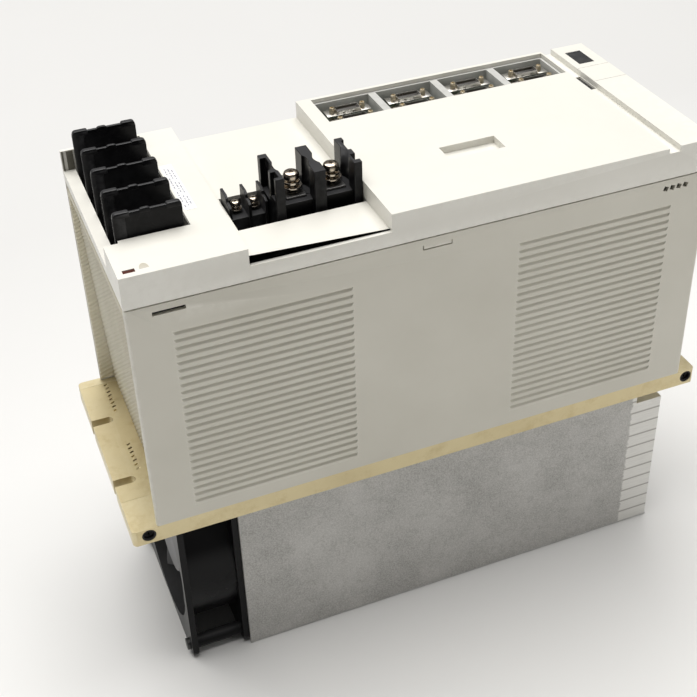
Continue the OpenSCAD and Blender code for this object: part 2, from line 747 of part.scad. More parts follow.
// Barrier of the link block between v0 and v1, scooped round the screws
module link_body() {
    difference() {
        union() {
            slab([97.8, 42.6, deck_z + deck_t], [148.6, 71, link_seat]);
            slab([97.8, 39.5, deck_z + deck_t], [103, 71, link_top]);
            slab([120.2, 39.2, deck_z + deck_t], [127, 71, link_top]);
            slab([143.8, 39.5, deck_z + deck_t], [148.6, 71, link_top]);
        }
        for (u = link_c) {
            rod(u, link_v, link_seat, link_top + 1, 10.4, 64);
            rod(u, link_v, link_seat - 12, link_seat + 1, 2.6);
        }
        slab([96, 52.4, link_seat], [101.2, 66.5, link_top + 1]);
        slab([96, 42.4, link_seat + 4], [100.6, 49, link_top + 1]);
        slab([145.4, 43.5, link_seat + 4], [150, 50, link_top + 1]);
        slab([146.8, 56, link_seat + 4], [150, 67, link_top + 1]);
    }
}

module link_terminal_block() {
    color(black) seat() link_body();
}

module link_terminal_plates() {
    color(alu) seat() for (u = link_c) difference() {
        union() {
            slab([u - 5.9, 46.8, link_seat], [u + 5.9, 60, link_seat + 1.5]);
            rod(u, 60, link_seat, link_seat + 1.5, 7.6);
            slab([u - 4, 60, link_seat], [u + 4, 72.9, link_seat + 1.5]);
        }
        rod(u, link_v, link_seat - 1, link_seat + 3, 2.6);
    }
}

// Flat washer and spring washer pushed up under each raised screw
module link_washers() {
    z = link_seat + 1.5;
    color(steel) seat() for (u = link_c) difference() {
        union() {
            rod(u, link_v, z, z + 1, 5.6);
            rod(u, link_v, z + 0.99, z + 2.4, 4.6);
        }
        rod(u, link_v, z - 1, z + 4, 2.52);
    }
}

module link_terminal_screws() {
    color(steel) seat() for (u = link_c) pan_screw(u, link_v, link_seat + 9.6, 5, 18);
}

module link_bars() {
    color(copper) seat() for (u = link_c)
        slab([u - 4, 71.1, drive_board_z + board_t], [u + 4, 72.9, link_seat]);
}

module aux_terminal_block() {
    color(black) seat() difference() {
        union() {
            slab([74.6, 55.5, deck_z + deck_t], [97.2, 71, aux_seat]);
            for (u = [74.6, 86, 95.6]) slab([u, 54, deck_z + deck_t], [u + 1.6, 70.5, 166]);
            for (u = [74.6, 86, 95.6]) slab([u, 60, 165], [u + 1.6, 70.5, 169.5]);
        }
        for (u = [74.6, 86, 95.6]) translate([u - 1, 54, 164.6]) rotate([30, 0, 0]) cube([4, 14, 9]);
        for (u = aux_c) rod(u, aux_v, aux_seat - 9, aux_seat + 1, 1.6);
    }
}

module aux_terminal_screws() {
    color(steel) seat() for (u = aux_c) {
        difference() {
            slab([u - 3.8, aux_v - 4, aux_seat], [u + 3.8, aux_v + 4, aux_seat + 1]);
            rod(u, aux_v, aux_seat - 1, aux_seat + 2, 1.4);
        }
        pan_screw(u, aux_v, aux_seat + 4.6, 3, 11);
    }
}

// Frame with four bays that sits in the cover's opening
module connector_frame() {
    a = [bay_open[0] + 0.3, bay_open[1] - 0.3, bay_open[2] + 0.3, bay_open[3] - 0.3];
    color([0.75, 0.75, 0.73]) seat() difference() {
        union() {
            area(a, card_z + 5, raised_top - wall - 0.1);
            area([157.3, 319.5, 113.4, 147.2], raised_top - wall - 2, raised_top - wall - 0.1);
        }
        for (i = [0:3]) {
            u0 = i == 0 ? a[0] + 1.6 : bay_bar[i - 1] + 2.5;
            u1 = i == 3 ? a[1] - 1.6 : bay_bar[i] - 2.5;
            slab([u0, a[2] + 1.6, card_z], [u1, a[3] - 1.6, raised_top]);
        }
    }
}

// Every connector position in the bay
module each_connector() {
    for (u = bay_c, v = row_v) translate([u, v, card_z + board_t]) children();
}

module connector_shells() {
    color(steel) seat() each_connector() difference() {
        union() {
            slab([-10.8, -3.9, 0], [10.8, 3.9, 13]);
            slab([-15.5, -4.4, 5.5], [15.5, 4.4, 7]);
        }
        slab([-10.2, -3.3, -1], [10.2, 3.3, 14]);
        for (s = [-1, 1]) rod(s * 13.2, 0, 4, 8, 1.4);
    }
}

module connector_inserts() {
    color(black) seat() each_connector() difference() {
        union() {
            slab([-10.1, -3.2, 0], [10.1, 3.2, 7.5]);
            slab([-9, -1.5, 7.4], [9, 1.5, 12]);
        }
        for (s = [-1, 1]) slab([-8.4, s * 1.9 - 0.3, 5], [8.4, s * 1.9 + 0.3, 13]);
    }
}

// Jack posts that lock the plugs
module connector_posts() {
    color(steel) seat() each_connector() for (s = [-1, 1]) difference() {
        union() {
            rod(s * 13.2, 0, 0, 12, 1.35);
            rod(s * 13.2, 0, 7, 12.2, 2.3, 6);
        }
        rod(s * 13.2, 0, 8, 13, 0.9);
    }
}

module control_card() {
    color(boardGreen) seat() difference() {
        union() {
            slab([160, 10, card_z], [320, 145.6, card_z + board_t]);
            slab([170, 30, card_z + board_t - eps], [196, 56, card_z + board_t + 3]);
            slab([210, 66, card_z + board_t - eps], [232, 88, card_z + board_t + 2.6]);
            slab([250, 40, card_z + board_t - eps], [290, 54, card_z + board_t + 4]);
            slab([262, 70, card_z + board_t - eps], [276, 98, card_z + board_t + 3]);
        }
        for (u = [172, 304], v = [20, 104]) rod(u, v, card_z - 1, card_z + 3, 1.6);
    }
}

module card_spacers() {
    color("silver") seat() for (u = [172, 304], v = [20, 104]) {
        rod(u, v, deck_z + deck_t, card_z, 3, 6);
        pan_screw(u, v, card_z + board_t, 3, 1.6);
    }
}

// Sheet deck on four legs that carries the card and the upper terminal blocks
module upper_deck() {
    color(steel) seat() difference() {
        union() {
            slab([56, 3.2, deck_z], [349, 146.8, deck_z + deck_t]);
            for (p = deck_leg_uv) {
                slab([p[0], p[1], 0], [p[0] + 2, p[1] + 6, deck_z + eps]);
                slab([p[0], p[1], 0], [p[0] + 10, p[1] + 6, 2]);
            }
        }
        for (u = link_c) slab([u - 5, 70.4, deck_z - 1], [u + 5, 73.6, deck_z + 3]);
        for (p = cover_post_uv) rod(p[0], p[1], deck_z - 1, deck_z + 3, 1.55);
        for (p = deck_leg_uv) rod(p[0] + 6.5, p[1] + 3, -1, 3, 1.6);
        slab([240, 92, deck_z - 1], [290, 98, deck_z + 3]);
        for (i = [0:7]) slab([176 + 16 * i, 40, deck_z - 1], [184 + 16 * i, 80, deck_z + 3]);
    }
}

module deck_screws() {
    color(steel) seat() for (p = deck_leg_uv) {
        rod(p[0] + 6.5, p[1] + 3, 2, 3.8, 2.7);
        rod(p[0] + 6.5, p[1] + 3, 0, 2 + eps, 1.55);
    }
}

module power_modules() {
    color([0.16, 0.16, 0.17]) seat() for (u = module_u) difference() {
        union() {
            slab([u, 23, 0], [u + module_size[0], 23 + module_size[1], 12]);
            slab([u + 2, 36, 12 - eps], [u + module_size[0] - 2, 114, module_size[2]]);
        }
        for (du = [6, module_size[0] - 6], v = [29, 121]) rod(u + du, v, -1, 13, 2.2);
    }
}

module module_screws() {
    color(steel) seat() for (u = module_u, du = [6, module_size[0] - 6], v = [29, 121])
        pan_screw(u + du, v, 12, 3.6, 20);
}

module drive_board() {
    color(boardGreen) seat() difference() {
        union() {
            slab([62, 11, drive_board_z], [264, 139, drive_board_z + board_t]);
            for (i = [0:3]) slab([84 + 40 * i, 84, drive_board_z + board_t - eps],
                                 [108 + 40 * i, 120, drive_board_z + board_t + 26]);
            slab([220, 30, drive_board_z + board_t - eps], [246, 70, drive_board_z + board_t + 22]);
        }
        for (p = post_uv) rod(p[0], p[1], drive_board_z - 1, drive_board_z + 3, 1.5);
    }
}

module drive_board_posts() {
    color("silver") seat() for (p = post_uv) {
        v = p[1];
        rod(p[0], v, 0, drive_board_z, 2.9, 6);
        rod(p[0], v, -7, eps, 1.45);
        rod(p[0], v, drive_board_z - eps, drive_board_z + board_t, 1.45);
        rod(p[0], v, drive_board_z + board_t, drive_board_z + board_t + 2, 2.8);
    }
}

module capacitors() {
    color([0.12, 0.18, 0.32]) seat() for (c = cap_c) {
        rod(c[0], c[1], 3, 3 + cap_h, cap_r);
        for (s = [-1, 1]) rod(c[0] + s * 5, c[1], 3 + cap_h - eps, 3 + cap_h + 4, 2.5);
    }
}

// Plate that holds the capacitors upright
module capacitor_clamp() {
    color(steel) seat() {
        difference() {
            slab([267, 12, 60], [343, 138, 62]);
            for (c = cap_c) rod(c[0], c[1], 59, 63, cap_r + 0.06);
        }
        difference() {
            slab([267, 12, 0], [343, 138, 3]);
            for (u = [273, 331]) slab([u, 52, -1], [u + 6, 56, 4]);
        }
        for (v = [12, 136]) slab([302, v, 2.9], [310, v + 2, 60.1]);
    }
}

// Flat cable between the drive board and the control card
module ribbon_cable() {
    z = drive_board_z + board_t;
    color([0.6, 0.6, 0.62]) seat() {
        slab([240, 94.4, z], [264, 95.4, card_z]);
        slab([250, 93, z], [264, 97, z + 6]);
    }
}

base_plate();
lower_mounting_bracket();
upper_mounting_bracket();
side_plug_screws();
bracket_screws();
heat_sink();
sink_bottom_sheet();
fan_adapter_plate();
fan_frame();
fan_rotor();
fan_shaft();
fan_bearings();
fan_stator();
fan_screws();
fan_lead();
lead_grommet();
side_case();
case_screws();
end_panel();
front_cover();
cover_screws();
lamp_lens();
charge_lamp();
terminal_label();
display_bezel();
display_window();
digit_module();
display_board();
switch_lid();
rotary_switch();
switch_knob();
main_terminal_block();
main_terminal_plates();
main_terminal_screws();
terminal_bracket();
phase_bars();
current_sensors();
link_terminal_block();
link_terminal_plates();
link_terminal_screws();
link_washers();
link_bars();
aux_terminal_block();
aux_terminal_screws();
connector_frame();
connector_shells();
connector_inserts();
connector_posts();
control_card();
card_spacers();
upper_deck();
deck_screws();
power_modules();
module_screws();
drive_board();
drive_board_posts();
capacitors();
capacitor_clamp();
ribbon_cable();
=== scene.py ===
import json
import math

import bmesh
import bpy
from mathutils import Matrix, Vector


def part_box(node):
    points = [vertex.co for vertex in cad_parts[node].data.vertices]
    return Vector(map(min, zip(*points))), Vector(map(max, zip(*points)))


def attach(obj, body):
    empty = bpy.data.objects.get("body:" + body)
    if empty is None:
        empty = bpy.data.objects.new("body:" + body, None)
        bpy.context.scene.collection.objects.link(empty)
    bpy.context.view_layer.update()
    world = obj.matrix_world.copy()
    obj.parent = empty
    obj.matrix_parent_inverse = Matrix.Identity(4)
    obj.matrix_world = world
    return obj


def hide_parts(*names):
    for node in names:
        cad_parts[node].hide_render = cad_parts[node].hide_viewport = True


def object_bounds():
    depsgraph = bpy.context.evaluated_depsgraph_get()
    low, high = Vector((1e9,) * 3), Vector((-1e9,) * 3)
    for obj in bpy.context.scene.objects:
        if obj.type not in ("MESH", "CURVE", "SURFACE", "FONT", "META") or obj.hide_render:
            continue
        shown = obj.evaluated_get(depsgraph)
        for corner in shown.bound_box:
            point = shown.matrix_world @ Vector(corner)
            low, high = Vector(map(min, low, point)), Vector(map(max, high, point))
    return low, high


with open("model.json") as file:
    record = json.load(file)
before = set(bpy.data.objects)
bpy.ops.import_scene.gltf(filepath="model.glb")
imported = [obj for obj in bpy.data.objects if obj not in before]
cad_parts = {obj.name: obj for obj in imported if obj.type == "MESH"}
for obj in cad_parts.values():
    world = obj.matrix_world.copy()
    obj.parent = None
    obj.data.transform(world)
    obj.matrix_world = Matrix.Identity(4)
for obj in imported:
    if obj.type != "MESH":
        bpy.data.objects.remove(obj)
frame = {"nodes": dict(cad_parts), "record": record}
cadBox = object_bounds()
print("servo drive: frame loaded")

mm = 0.001
plateLow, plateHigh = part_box("base_plate")
overhang = 15.0


# Case coordinates in millimetres: u along the length, v across, w up from the base plate
def at(u, v, w):
    return Vector((plateLow.x + (overhang + u) * mm, plateLow.y + v * mm, plateHigh.z + w * mm))


origin = at(0, 0, 0) / mm


# ---------- shader node groups ----------
def newGroup(name, inputs, outputs):
    group = bpy.data.node_groups.new(name, "ShaderNodeTree")
    for label, kind, default in inputs:
        item = group.interface.new_socket(name=label, in_out="INPUT", socket_type=kind)
        item.default_value = default
    for label, kind in outputs:
        group.interface.new_socket(name=label, in_out="OUTPUT", socket_type=kind)
    return group, group.nodes.new("NodeGroupInput"), group.nodes.new("NodeGroupOutput")


def objectPlace(nodes):
    return nodes.new("ShaderNodeTexCoord").outputs["Object"]


def mathNode(nodes, links, operation, a, b=None, clamp=False):
    node = nodes.new("ShaderNodeMath")
    node.operation = operation
    node.use_clamp = clamp
    for i, value in enumerate((a, b)):
        if value is None:
            continue
        if isinstance(value, (int, float)):
            node.inputs[i].default_value = value
        else:
            links.new(value, node.inputs[i])
    return node.outputs[0]


def rangeNode(nodes, links, value, low, high, outLow=0.0, outHigh=1.0):
    node = nodes.new("ShaderNodeMapRange")
    links.new(value, node.inputs["Value"])
    for label, x in (("From Min", low), ("From Max", high), ("To Min", outLow), ("To Max", outHigh)):
        if isinstance(x, (int, float)):
            node.inputs[label].default_value = x
        else:
            links.new(x, node.inputs[label])
    return node.outputs["Result"]


def noiseNode(nodes, links, vector, scale, detail=3.0, rough=0.5):
    node = nodes.new("ShaderNodeTexNoise")
    node.inputs["Detail"].default_value = detail
    node.inputs["Roughness"].default_value = rough
    links.new(vector, node.inputs["Vector"])
    if isinstance(scale, (int, float)):
        node.inputs["Scale"].default_value = scale
    else:
        links.new(scale, node.inputs["Scale"])
    return node.outputs["Fac"]


# Moulded or cast grain: a fine height and a slow tone drift
def buildGrain():
    group, gin, gout = newGroup("surfaceGrain", [("Grain Scale", "NodeSocketFloat", 1800.0),
                                                 ("Drift Scale", "NodeSocketFloat", 14.0)],
                                [("Height", "NodeSocketFloat"), ("Drift", "NodeSocketFloat")])
    n, l = group.nodes, group.links
    place = objectPlace(n)
    fine = noiseNode(n, l, place, gin.outputs["Grain Scale"], 2.0, 0.6)
    l.new(fine, gout.inputs["Height"])
    slow = noiseNode(n, l, place, gin.outputs["Drift Scale"], 4.0, 0.55)
    l.new(rangeNode(n, l, slow, 0.3, 0.7), gout.inputs["Drift"])
    return group


# Worn edges: convex edges broken up by noise
def buildEdgeWear():
    group, gin, gout = newGroup("edgeWear", [("Start", "NodeSocketFloat", 0.52), ("Full", "NodeSocketFloat", 0.6),
                                             ("Break Scale", "NodeSocketFloat", 220.0)],
                                [("Mask", "NodeSocketFloat")])
    n, l = group.nodes, group.links
    place = objectPlace(n)
    point = n.new("ShaderNodeNewGeometry").outputs["Pointiness"]
    edge = rangeNode(n, l, point, gin.outputs["Start"], gin.outputs["Full"])
    broken = rangeNode(n, l, noiseNode(n, l, place, gin.outputs["Break Scale"], 4.0, 0.6), 0.35, 0.6, 0.35, 1.0)
    l.new(mathNode(n, l, "MULTIPLY", edge, broken, True), gout.inputs["Mask"])
    return group


# Dust that lies on what faces up, dirt that gathers in corners, and an up-facing mask (Up) used to paint light onto
# upward faces
def buildDustAndTopLightMasks():
    group, gin, gout = newGroup("dustAndTopLightMasks", [("Patch Scale", "NodeSocketFloat", 40.0)],
                                [("Dust", "NodeSocketFloat"), ("Corner", "NodeSocketFloat"),
                                 ("Up", "NodeSocketFloat")])
    n, l = group.nodes, group.links
    place = objectPlace(n)
    geo = n.new("ShaderNodeNewGeometry")
    split = n.new("ShaderNodeSeparateXYZ")
    l.new(geo.outputs["Normal"], split.inputs[0])
    up = rangeNode(n, l, split.outputs["Z"], 0.3, 1.0)
    patch = rangeNode(n, l, noiseNode(n, l, place, gin.outputs["Patch Scale"], 5.0, 0.65), 0.42, 0.7)
    l.new(mathNode(n, l, "MULTIPLY", up, patch, True), gout.inputs["Dust"])
    l.new(rangeNode(n, l, geo.outputs["Pointiness"], 0.5, 0.42), gout.inputs["Corner"])
    # Up: mask of upward faces, used only to paint light from above onto top faces
    l.new(rangeNode(n, l, split.outputs["Z"], 0.45, 0.95), gout.inputs["Up"])
    return group


groups = {"grain": buildGrain(), "wear": buildEdgeWear(), "dust": buildDustAndTopLightMasks()}
print("servo drive: shader groups ready")


# ---------- materials ----------
def startMaterial(name):
    material = bpy.data.materials.new(name)
    material.use_nodes = True
    tree = material.node_tree
    return material, tree.nodes, tree.links, tree.nodes["Principled BSDF"]


def placeGroup(nodes, key, values):
    node = nodes.new("ShaderNodeGroup")
    node.node_tree = groups[key]
    for label, value in values.items():
        node.inputs[label].default_value = value
    return node


def mixColor(nodes, links, factor, a, b, blend="MIX"):
    node = nodes.new("ShaderNodeMix")
    node.data_type = "RGBA"
    node.blend_type = blend
    links.new(factor, node.inputs["Factor"])
    for socket, value in ((node.inputs[6], a), (node.inputs[7], b)):
        if hasattr(value, "is_linked") or hasattr(value, "links"):
            links.new(value, socket)
        else:
            socket.default_value = (*value, 1.0)
    return node.outputs[2]


def addBump(nodes, links, shader, height, strength, distance):
    bump = nodes.new("ShaderNodeBump")
    bump.inputs["Strength"].default_value = strength
    bump.inputs["Distance"].default_value = distance
    links.new(height, bump.inputs["Height"])
    links.new(bump.outputs["Normal"], shader.inputs["Normal"])
    return bump


# Moulded plastic with grain, tone drift, worn edges and dust, and optional painted light on upward faces
def plasticMaterial(name, base, drift, worn, dust, rough=(0.42, 0.55), wear=0.5, dustAmount=0.2,
                    bump=0.25, grain=1500.0, driftScale=14.0, start=0.53, full=0.62, specular=0.5,
                    top=None):
    material, n, l, shader = startMaterial(name)
    grainNode = placeGroup(n, "grain", {"Grain Scale": grain, "Drift Scale": driftScale})
    wearNode = placeGroup(n, "wear", {"Start": start, "Full": full})
    dustAndTopLightNode = placeGroup(n, "dust", {})
    color = mixColor(n, l, grainNode.outputs["Drift"], base, drift)
    edge = mathNode(n, l, "MULTIPLY", wearNode.outputs["Mask"], wear, True)
    color = mixColor(n, l, edge, color, worn)
    dusty = mathNode(n, l, "MULTIPLY", dustAndTopLightNode.outputs["Dust"], dustAmount, True)
    color = mixColor(n, l, dusty, color, dust)
    # top = (amount, colour): upward faces are mixed toward this colour, a painted highlight that stands in for light
    # from above
    if top:
        color = mixColor(n, l, mathNode(n, l, "MULTIPLY", dustAndTopLightNode.outputs["Up"], top[0], True), color, top[1])
    l.new(color, shader.inputs["Base Color"])
    l.new(rangeNode(n, l, grainNode.outputs["Drift"], 0, 1, rough[0], rough[1]), shader.inputs["Roughness"])
    shader.inputs["Specular IOR Level"].default_value = specular
    addBump(n, l, shader, grainNode.outputs["Height"], bump, 0.0001)
    return material


# Metal with brushed or cast variation
def metalMaterial(name, base, drift, rough=(0.28, 0.42), metallic=1.0, stretch=(1, 1, 1), grain=900.0,
                  driftScale=18.0, bump=0.15, wear=0.35, worn=(0.9, 0.9, 0.88), stain=0.0,
                  stainColor=(0.2, 0.17, 0.12)):
    material, n, l, shader = startMaterial(name)
    place = objectPlace(n)
    mapping = n.new("ShaderNodeMapping")
    mapping.inputs["Scale"].default_value = stretch
    l.new(place, mapping.inputs["Vector"])
    brushed = noiseNode(n, l, mapping.outputs["Vector"], grain, 3.0, 0.6)
    slow = rangeNode(n, l, noiseNode(n, l, place, driftScale, 5.0, 0.6), 0.32, 0.68)
    color = mixColor(n, l, slow, base, drift)
    wearNode = placeGroup(n, "wear", {"Start": 0.53, "Full": 0.64})
    color = mixColor(n, l, mathNode(n, l, "MULTIPLY", wearNode.outputs["Mask"], wear, True), color, worn)
    if stain:
        patch = rangeNode(n, l, noiseNode(n, l, place, driftScale * 3.1, 6.0, 0.7), 0.52, 0.68)
        color = mixColor(n, l, mathNode(n, l, "MULTIPLY", patch, stain, True), color, stainColor)
    l.new(color, shader.inputs["Base Color"])
    shader.inputs["Metallic"].default_value = metallic
    both = mathNode(n, l, "ADD", mathNode(n, l, "MULTIPLY", brushed, 0.5), mathNode(n, l, "MULTIPLY", slow, 0.5))
    l.new(rangeNode(n, l, both, 0.2, 0.8, rough[0], rough[1]), shader.inputs["Roughness"])
    addBump(n, l, shader, brushed, bump, 0.0001)
    return material


# Cast aluminium: blotchy skin, pits, and bright milled stretch past a chosen station
def castMaterial(name, settings):
    material, n, l, shader = startMaterial(name)
    place = objectPlace(n)
    split = n.new("ShaderNodeSeparateXYZ")
    l.new(place, split.inputs[0])
    blotch = rangeNode(n, l, noiseNode(n, l, place, settings["blotchScale"], 6.0, 0.68), 0.3, 0.7)
    speck = rangeNode(n, l, noiseNode(n, l, place, settings["speckScale"], 4.0, 0.7), 0.38, 0.66)
    color = mixColor(n, l, blotch, settings["dark"], settings["light"])
    color = mixColor(n, l, mathNode(n, l, "MULTIPLY", speck, 0.5), color, settings["fleck"])
    edgeNoise = noiseNode(n, l, place, 160.0, 4.0, 0.7)
    shifted = mathNode(n, l, "ADD", split.outputs["X"], mathNode(n, l, "MULTIPLY", edgeNoise, 0.006))
    milled = rangeNode(n, l, shifted, settings["millStart"], settings["millStart"] + 0.0012)
    streak = n.new("ShaderNodeMapping")
    streak.inputs["Scale"].default_value = (1, 1, 14)
    l.new(place, streak.inputs["Vector"])
    lines = noiseNode(n, l, streak.outputs["Vector"], 120.0, 2.0, 0.5)
    bright = mixColor(n, l, lines, settings["milledDark"], settings["milledLight"])
    vein = rangeNode(n, l, mathNode(n, l, "ABSOLUTE", mathNode(n, l, "SUBTRACT", noiseNode(
        n, l, place, 30.0, 7.0, 0.72), 0.5)), 0.003, 0.016, 0.22, 0.0)
    color = mixColor(n, l, vein, color, settings["vein"])
    ridge = mathNode(n, l, "FRACT", mathNode(n, l, "DIVIDE", split.outputs["Z"], settings["lineStep"]))
    ridge = rangeNode(n, l, ridge, 0.10, 0.16, 1.0, 0.0)
    bright = mixColor(n, l, mathNode(n, l, "MULTIPLY", ridge, 0.8), bright, settings["lineShade"])
    color = mixColor(n, l, milled, color, bright)
    l.new(color, shader.inputs["Base Color"])
    shader.inputs["Metallic"].default_value = settings["metallic"]
    l.new(rangeNode(n, l, milled, 0, 1, settings["castRough"], settings["milledRough"]),
          shader.inputs["Roughness"])
    mixed = mathNode(n, l, "ADD", mathNode(n, l, "MULTIPLY", speck, 0.6), mathNode(n, l, "MULTIPLY", blotch, 0.4))
    addBump(n, l, shader, mixed, 0.35, 0.0003)
    return material


def boardMaterial(name, settings):
    material, n, l, shader = startMaterial(name)
    place = objectPlace(n)
    cells = n.new("ShaderNodeTexVoronoi")
    cells.inputs["Scale"].default_value = settings["trackScale"]
    cells.distance = "CHEBYCHEV"
    l.new(place, cells.inputs["Vector"])
    tracks = rangeNode(n, l, cells.outputs["Distance"], 0.30, 0.36)
    color = mixColor(n, l, tracks, settings["mask"], settings["track"])
    pads = rangeNode(n, l, cells.outputs["Distance"], 0.07, 0.05)
    color = mixColor(n, l, pads, color, settings["pad"])
    l.new(color, shader.inputs["Base Color"])
    l.new(rangeNode(n, l, pads, 0, 1, 0.32, 0.25), shader.inputs["Roughness"])
    addBump(n, l, shader, tracks, 0.2, 0.0001)
    return material


finishes = {
    "cover": dict(base=(0.73, 0.715, 0.66), drift=(0.69, 0.675, 0.62), worn=(0.86, 0.85, 0.80),
                  dust=(0.66, 0.63, 0.56), rough=(0.36, 0.46), wear=0.35, dustAmount=0.10, bump=0.12),
    "case": dict(base=(0.62, 0.60, 0.53), drift=(0.575, 0.555, 0.485), worn=(0.80, 0.78, 0.72),
                 dust=(0.55, 0.52, 0.45), rough=(0.40, 0.52), wear=0.5, dustAmount=0.15, bump=0.15),
    "panel": dict(base=(0.56, 0.525, 0.415), drift=(0.50, 0.465, 0.36), worn=(0.72, 0.69, 0.60),
                  dust=(0.5, 0.47, 0.4), rough=(0.42, 0.55), wear=0.3, dustAmount=0.1),
    # black: the top entry paints upward faces dark grey, painted light from the overhead lamp
    "black": dict(base=(0.0025, 0.0025, 0.003), drift=(0.005, 0.005, 0.0055), worn=(0.05, 0.05, 0.053),
                  dust=(0.05, 0.048, 0.042), rough=(0.24, 0.34), wear=0.8, dustAmount=0.08, bump=0.08,
                  start=0.535, full=0.62, specular=0.14, top=(0.75, (0.05, 0.05, 0.052))),
    "frame": dict(base=(0.46, 0.46, 0.44), drift=(0.40, 0.40, 0.38), worn=(0.62, 0.62, 0.6),
                  dust=(0.4, 0.38, 0.33), rough=(0.4, 0.5), wear=0.4, dustAmount=0.1),
    "blue": dict(base=(0.02, 0.05, 0.16), drift=(0.03, 0.07, 0.2), worn=(0.1, 0.15, 0.3),
                 dust=(0.2, 0.2, 0.2), rough=(0.35, 0.5)),
    "sleeve": dict(base=(0.015, 0.03, 0.09), drift=(0.02, 0.04, 0.11), worn=(0.1, 0.12, 0.2),
                   dust=(0.2, 0.2, 0.2), rough=(0.2, 0.3)),
    "rubber": dict(base=(0.014, 0.014, 0.014), drift=(0.022, 0.021, 0.02), worn=(0.05, 0.05, 0.05),
                   dust=(0.12, 0.11, 0.1), rough=(0.6, 0.75)),
    "label": dict(base=(0.86, 0.86, 0.85), drift=(0.83, 0.83, 0.82), worn=(0.9, 0.9, 0.9),
                  dust=(0.7, 0.68, 0.62), rough=(0.28, 0.36), dustAmount=0.1, bump=0.03),
    "ribbon": dict(base=(0.3, 0.3, 0.31), drift=(0.25, 0.25, 0.26), worn=(0.45, 0.45, 0.45),
                   dust=(0.3, 0.3, 0.3)),
    "lens": dict(base=(0.05, 0.012, 0.008), drift=(0.075, 0.02, 0.012), worn=(0.12, 0.04, 0.03),
                 dust=(0.2, 0.15, 0.12), rough=(0.12, 0.2), bump=0.02),
    "window": dict(base=(0.018, 0.019, 0.021), drift=(0.026, 0.027, 0.03), worn=(0.06, 0.06, 0.06),
                   dust=(0.2, 0.2, 0.19), rough=(0.10, 0.18), bump=0.02, dustAmount=0.1),
    "mark": dict(base=(0.50, 0.47, 0.39), drift=(0.45, 0.42, 0.34), worn=(0.55, 0.52, 0.45),
                 dust=(0.5, 0.47, 0.4), rough=(0.4, 0.5)),
    "ink": dict(base=(0.22, 0.22, 0.28), drift=(0.35, 0.35, 0.4), worn=(0.5, 0.5, 0.5),
                 dust=(0.5, 0.5, 0.5), rough=(0.4, 0.5), dustAmount=0.05, bump=0.02),
    # Dark olive finish for the plate in the far corner: painted shade on the shadowed inside of the cover's back
    # wall
    "cornerShade": dict(base=(0.085, 0.078, 0.055), drift=(0.055, 0.05, 0.035), worn=(0.2, 0.19, 0.15),
                 dust=(0.2, 0.18, 0.13), rough=(0.45, 0.6)),
    "cheek": dict(base=(0.84, 0.80, 0.67), drift=(0.78, 0.74, 0.60), worn=(0.86, 0.84, 0.76),
                 dust=(0.6, 0.56, 0.45), rough=(0.42, 0.55)),
    "insert": dict(base=(0.02, 0.019, 0.018), drift=(0.032, 0.03, 0.028), worn=(0.10, 0.09, 0.08),
                 dust=(0.12, 0.11, 0.09), rough=(0.38, 0.5), wear=0.6),
}
mats = {key: plasticMaterial(key + "Plastic", **values) for key, values in finishes.items()}
metals = {
    "steel": dict(base=(0.60, 0.59, 0.57), drift=(0.46, 0.45, 0.43), rough=(0.22, 0.38), stain=0.25),
    "sheet": dict(base=(0.55, 0.55, 0.54), drift=(0.44, 0.44, 0.43), rough=(0.3, 0.45), stain=0.15),
    "chromate": dict(base=(0.62, 0.535, 0.33), drift=(0.54, 0.455, 0.27), rough=(0.30, 0.46), metallic=0.75,
                     stretch=(1, 6, 6), worn=(0.72, 0.66, 0.48), wear=0.5, stain=0.35,
                     stainColor=(0.40, 0.30, 0.14), driftScale=22.0),
    "plate": dict(base=(0.50, 0.51, 0.52), drift=(0.40, 0.41, 0.42), rough=(0.28, 0.42)),
    "darkPlate": dict(base=(0.10, 0.10, 0.10), drift=(0.16, 0.155, 0.15), rough=(0.3, 0.45),
                      worn=(0.4, 0.4, 0.4)),
    "copper": dict(base=(0.62, 0.33, 0.2), drift=(0.5, 0.26, 0.15), rough=(0.3, 0.45), stain=0.3),
    "shell": dict(base=(0.62, 0.61, 0.57), drift=(0.52, 0.50, 0.46), rough=(0.22, 0.36)),
    "brass": dict(base=(0.66, 0.56, 0.38), drift=(0.55, 0.45, 0.28), rough=(0.25, 0.38)),
    "screw": dict(base=(0.66, 0.60, 0.52), drift=(0.48, 0.40, 0.31), rough=(0.16, 0.30), stain=0.25,
                  stainColor=(0.28, 0.17, 0.09)),
    "blackSteel": dict(base=(0.03, 0.03, 0.03), drift=(0.05, 0.05, 0.05), rough=(0.35, 0.5), metallic=0.8,
                       worn=(0.3, 0.3, 0.3)),
    "blades": dict(base=(0.10, 0.10, 0.105), drift=(0.14, 0.14, 0.145), rough=(0.35, 0.5), metallic=0.0,
                   worn=(0.25, 0.25, 0.25)),
}
mats.update({key: metalMaterial(key + "Metal", **values) for key, values in metals.items()})
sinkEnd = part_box("heat_sink")[1].x
castFinish = {"dark": (0.29, 0.285, 0.27), "light": (0.46, 0.452, 0.435), "fleck": (0.72, 0.71, 0.685),
              "blotchScale": 24.0, "speckScale": 900.0, "millStart": sinkEnd - 0.0195, "metallic": 0.3,
              "lineStep": 0.0100, "lineShade": (0.30, 0.285, 0.26),
              "milledDark": (0.62, 0.61, 0.58), "milledLight": (0.80, 0.79, 0.76),
              "castRough": 0.5, "milledRough": 0.34, "vein": (0.17, 0.155, 0.14)}
mats["cast"] = castMaterial("castAluminium", castFinish)
boardFinish = {"mask": (0.012, 0.085, 0.045), "track": (0.02, 0.13, 0.07), "pad": (0.6, 0.58, 0.5),
               "trackScale": 260.0}
mats["board"] = boardMaterial("circuitBoard", boardFinish)
print("servo drive: materials ready")

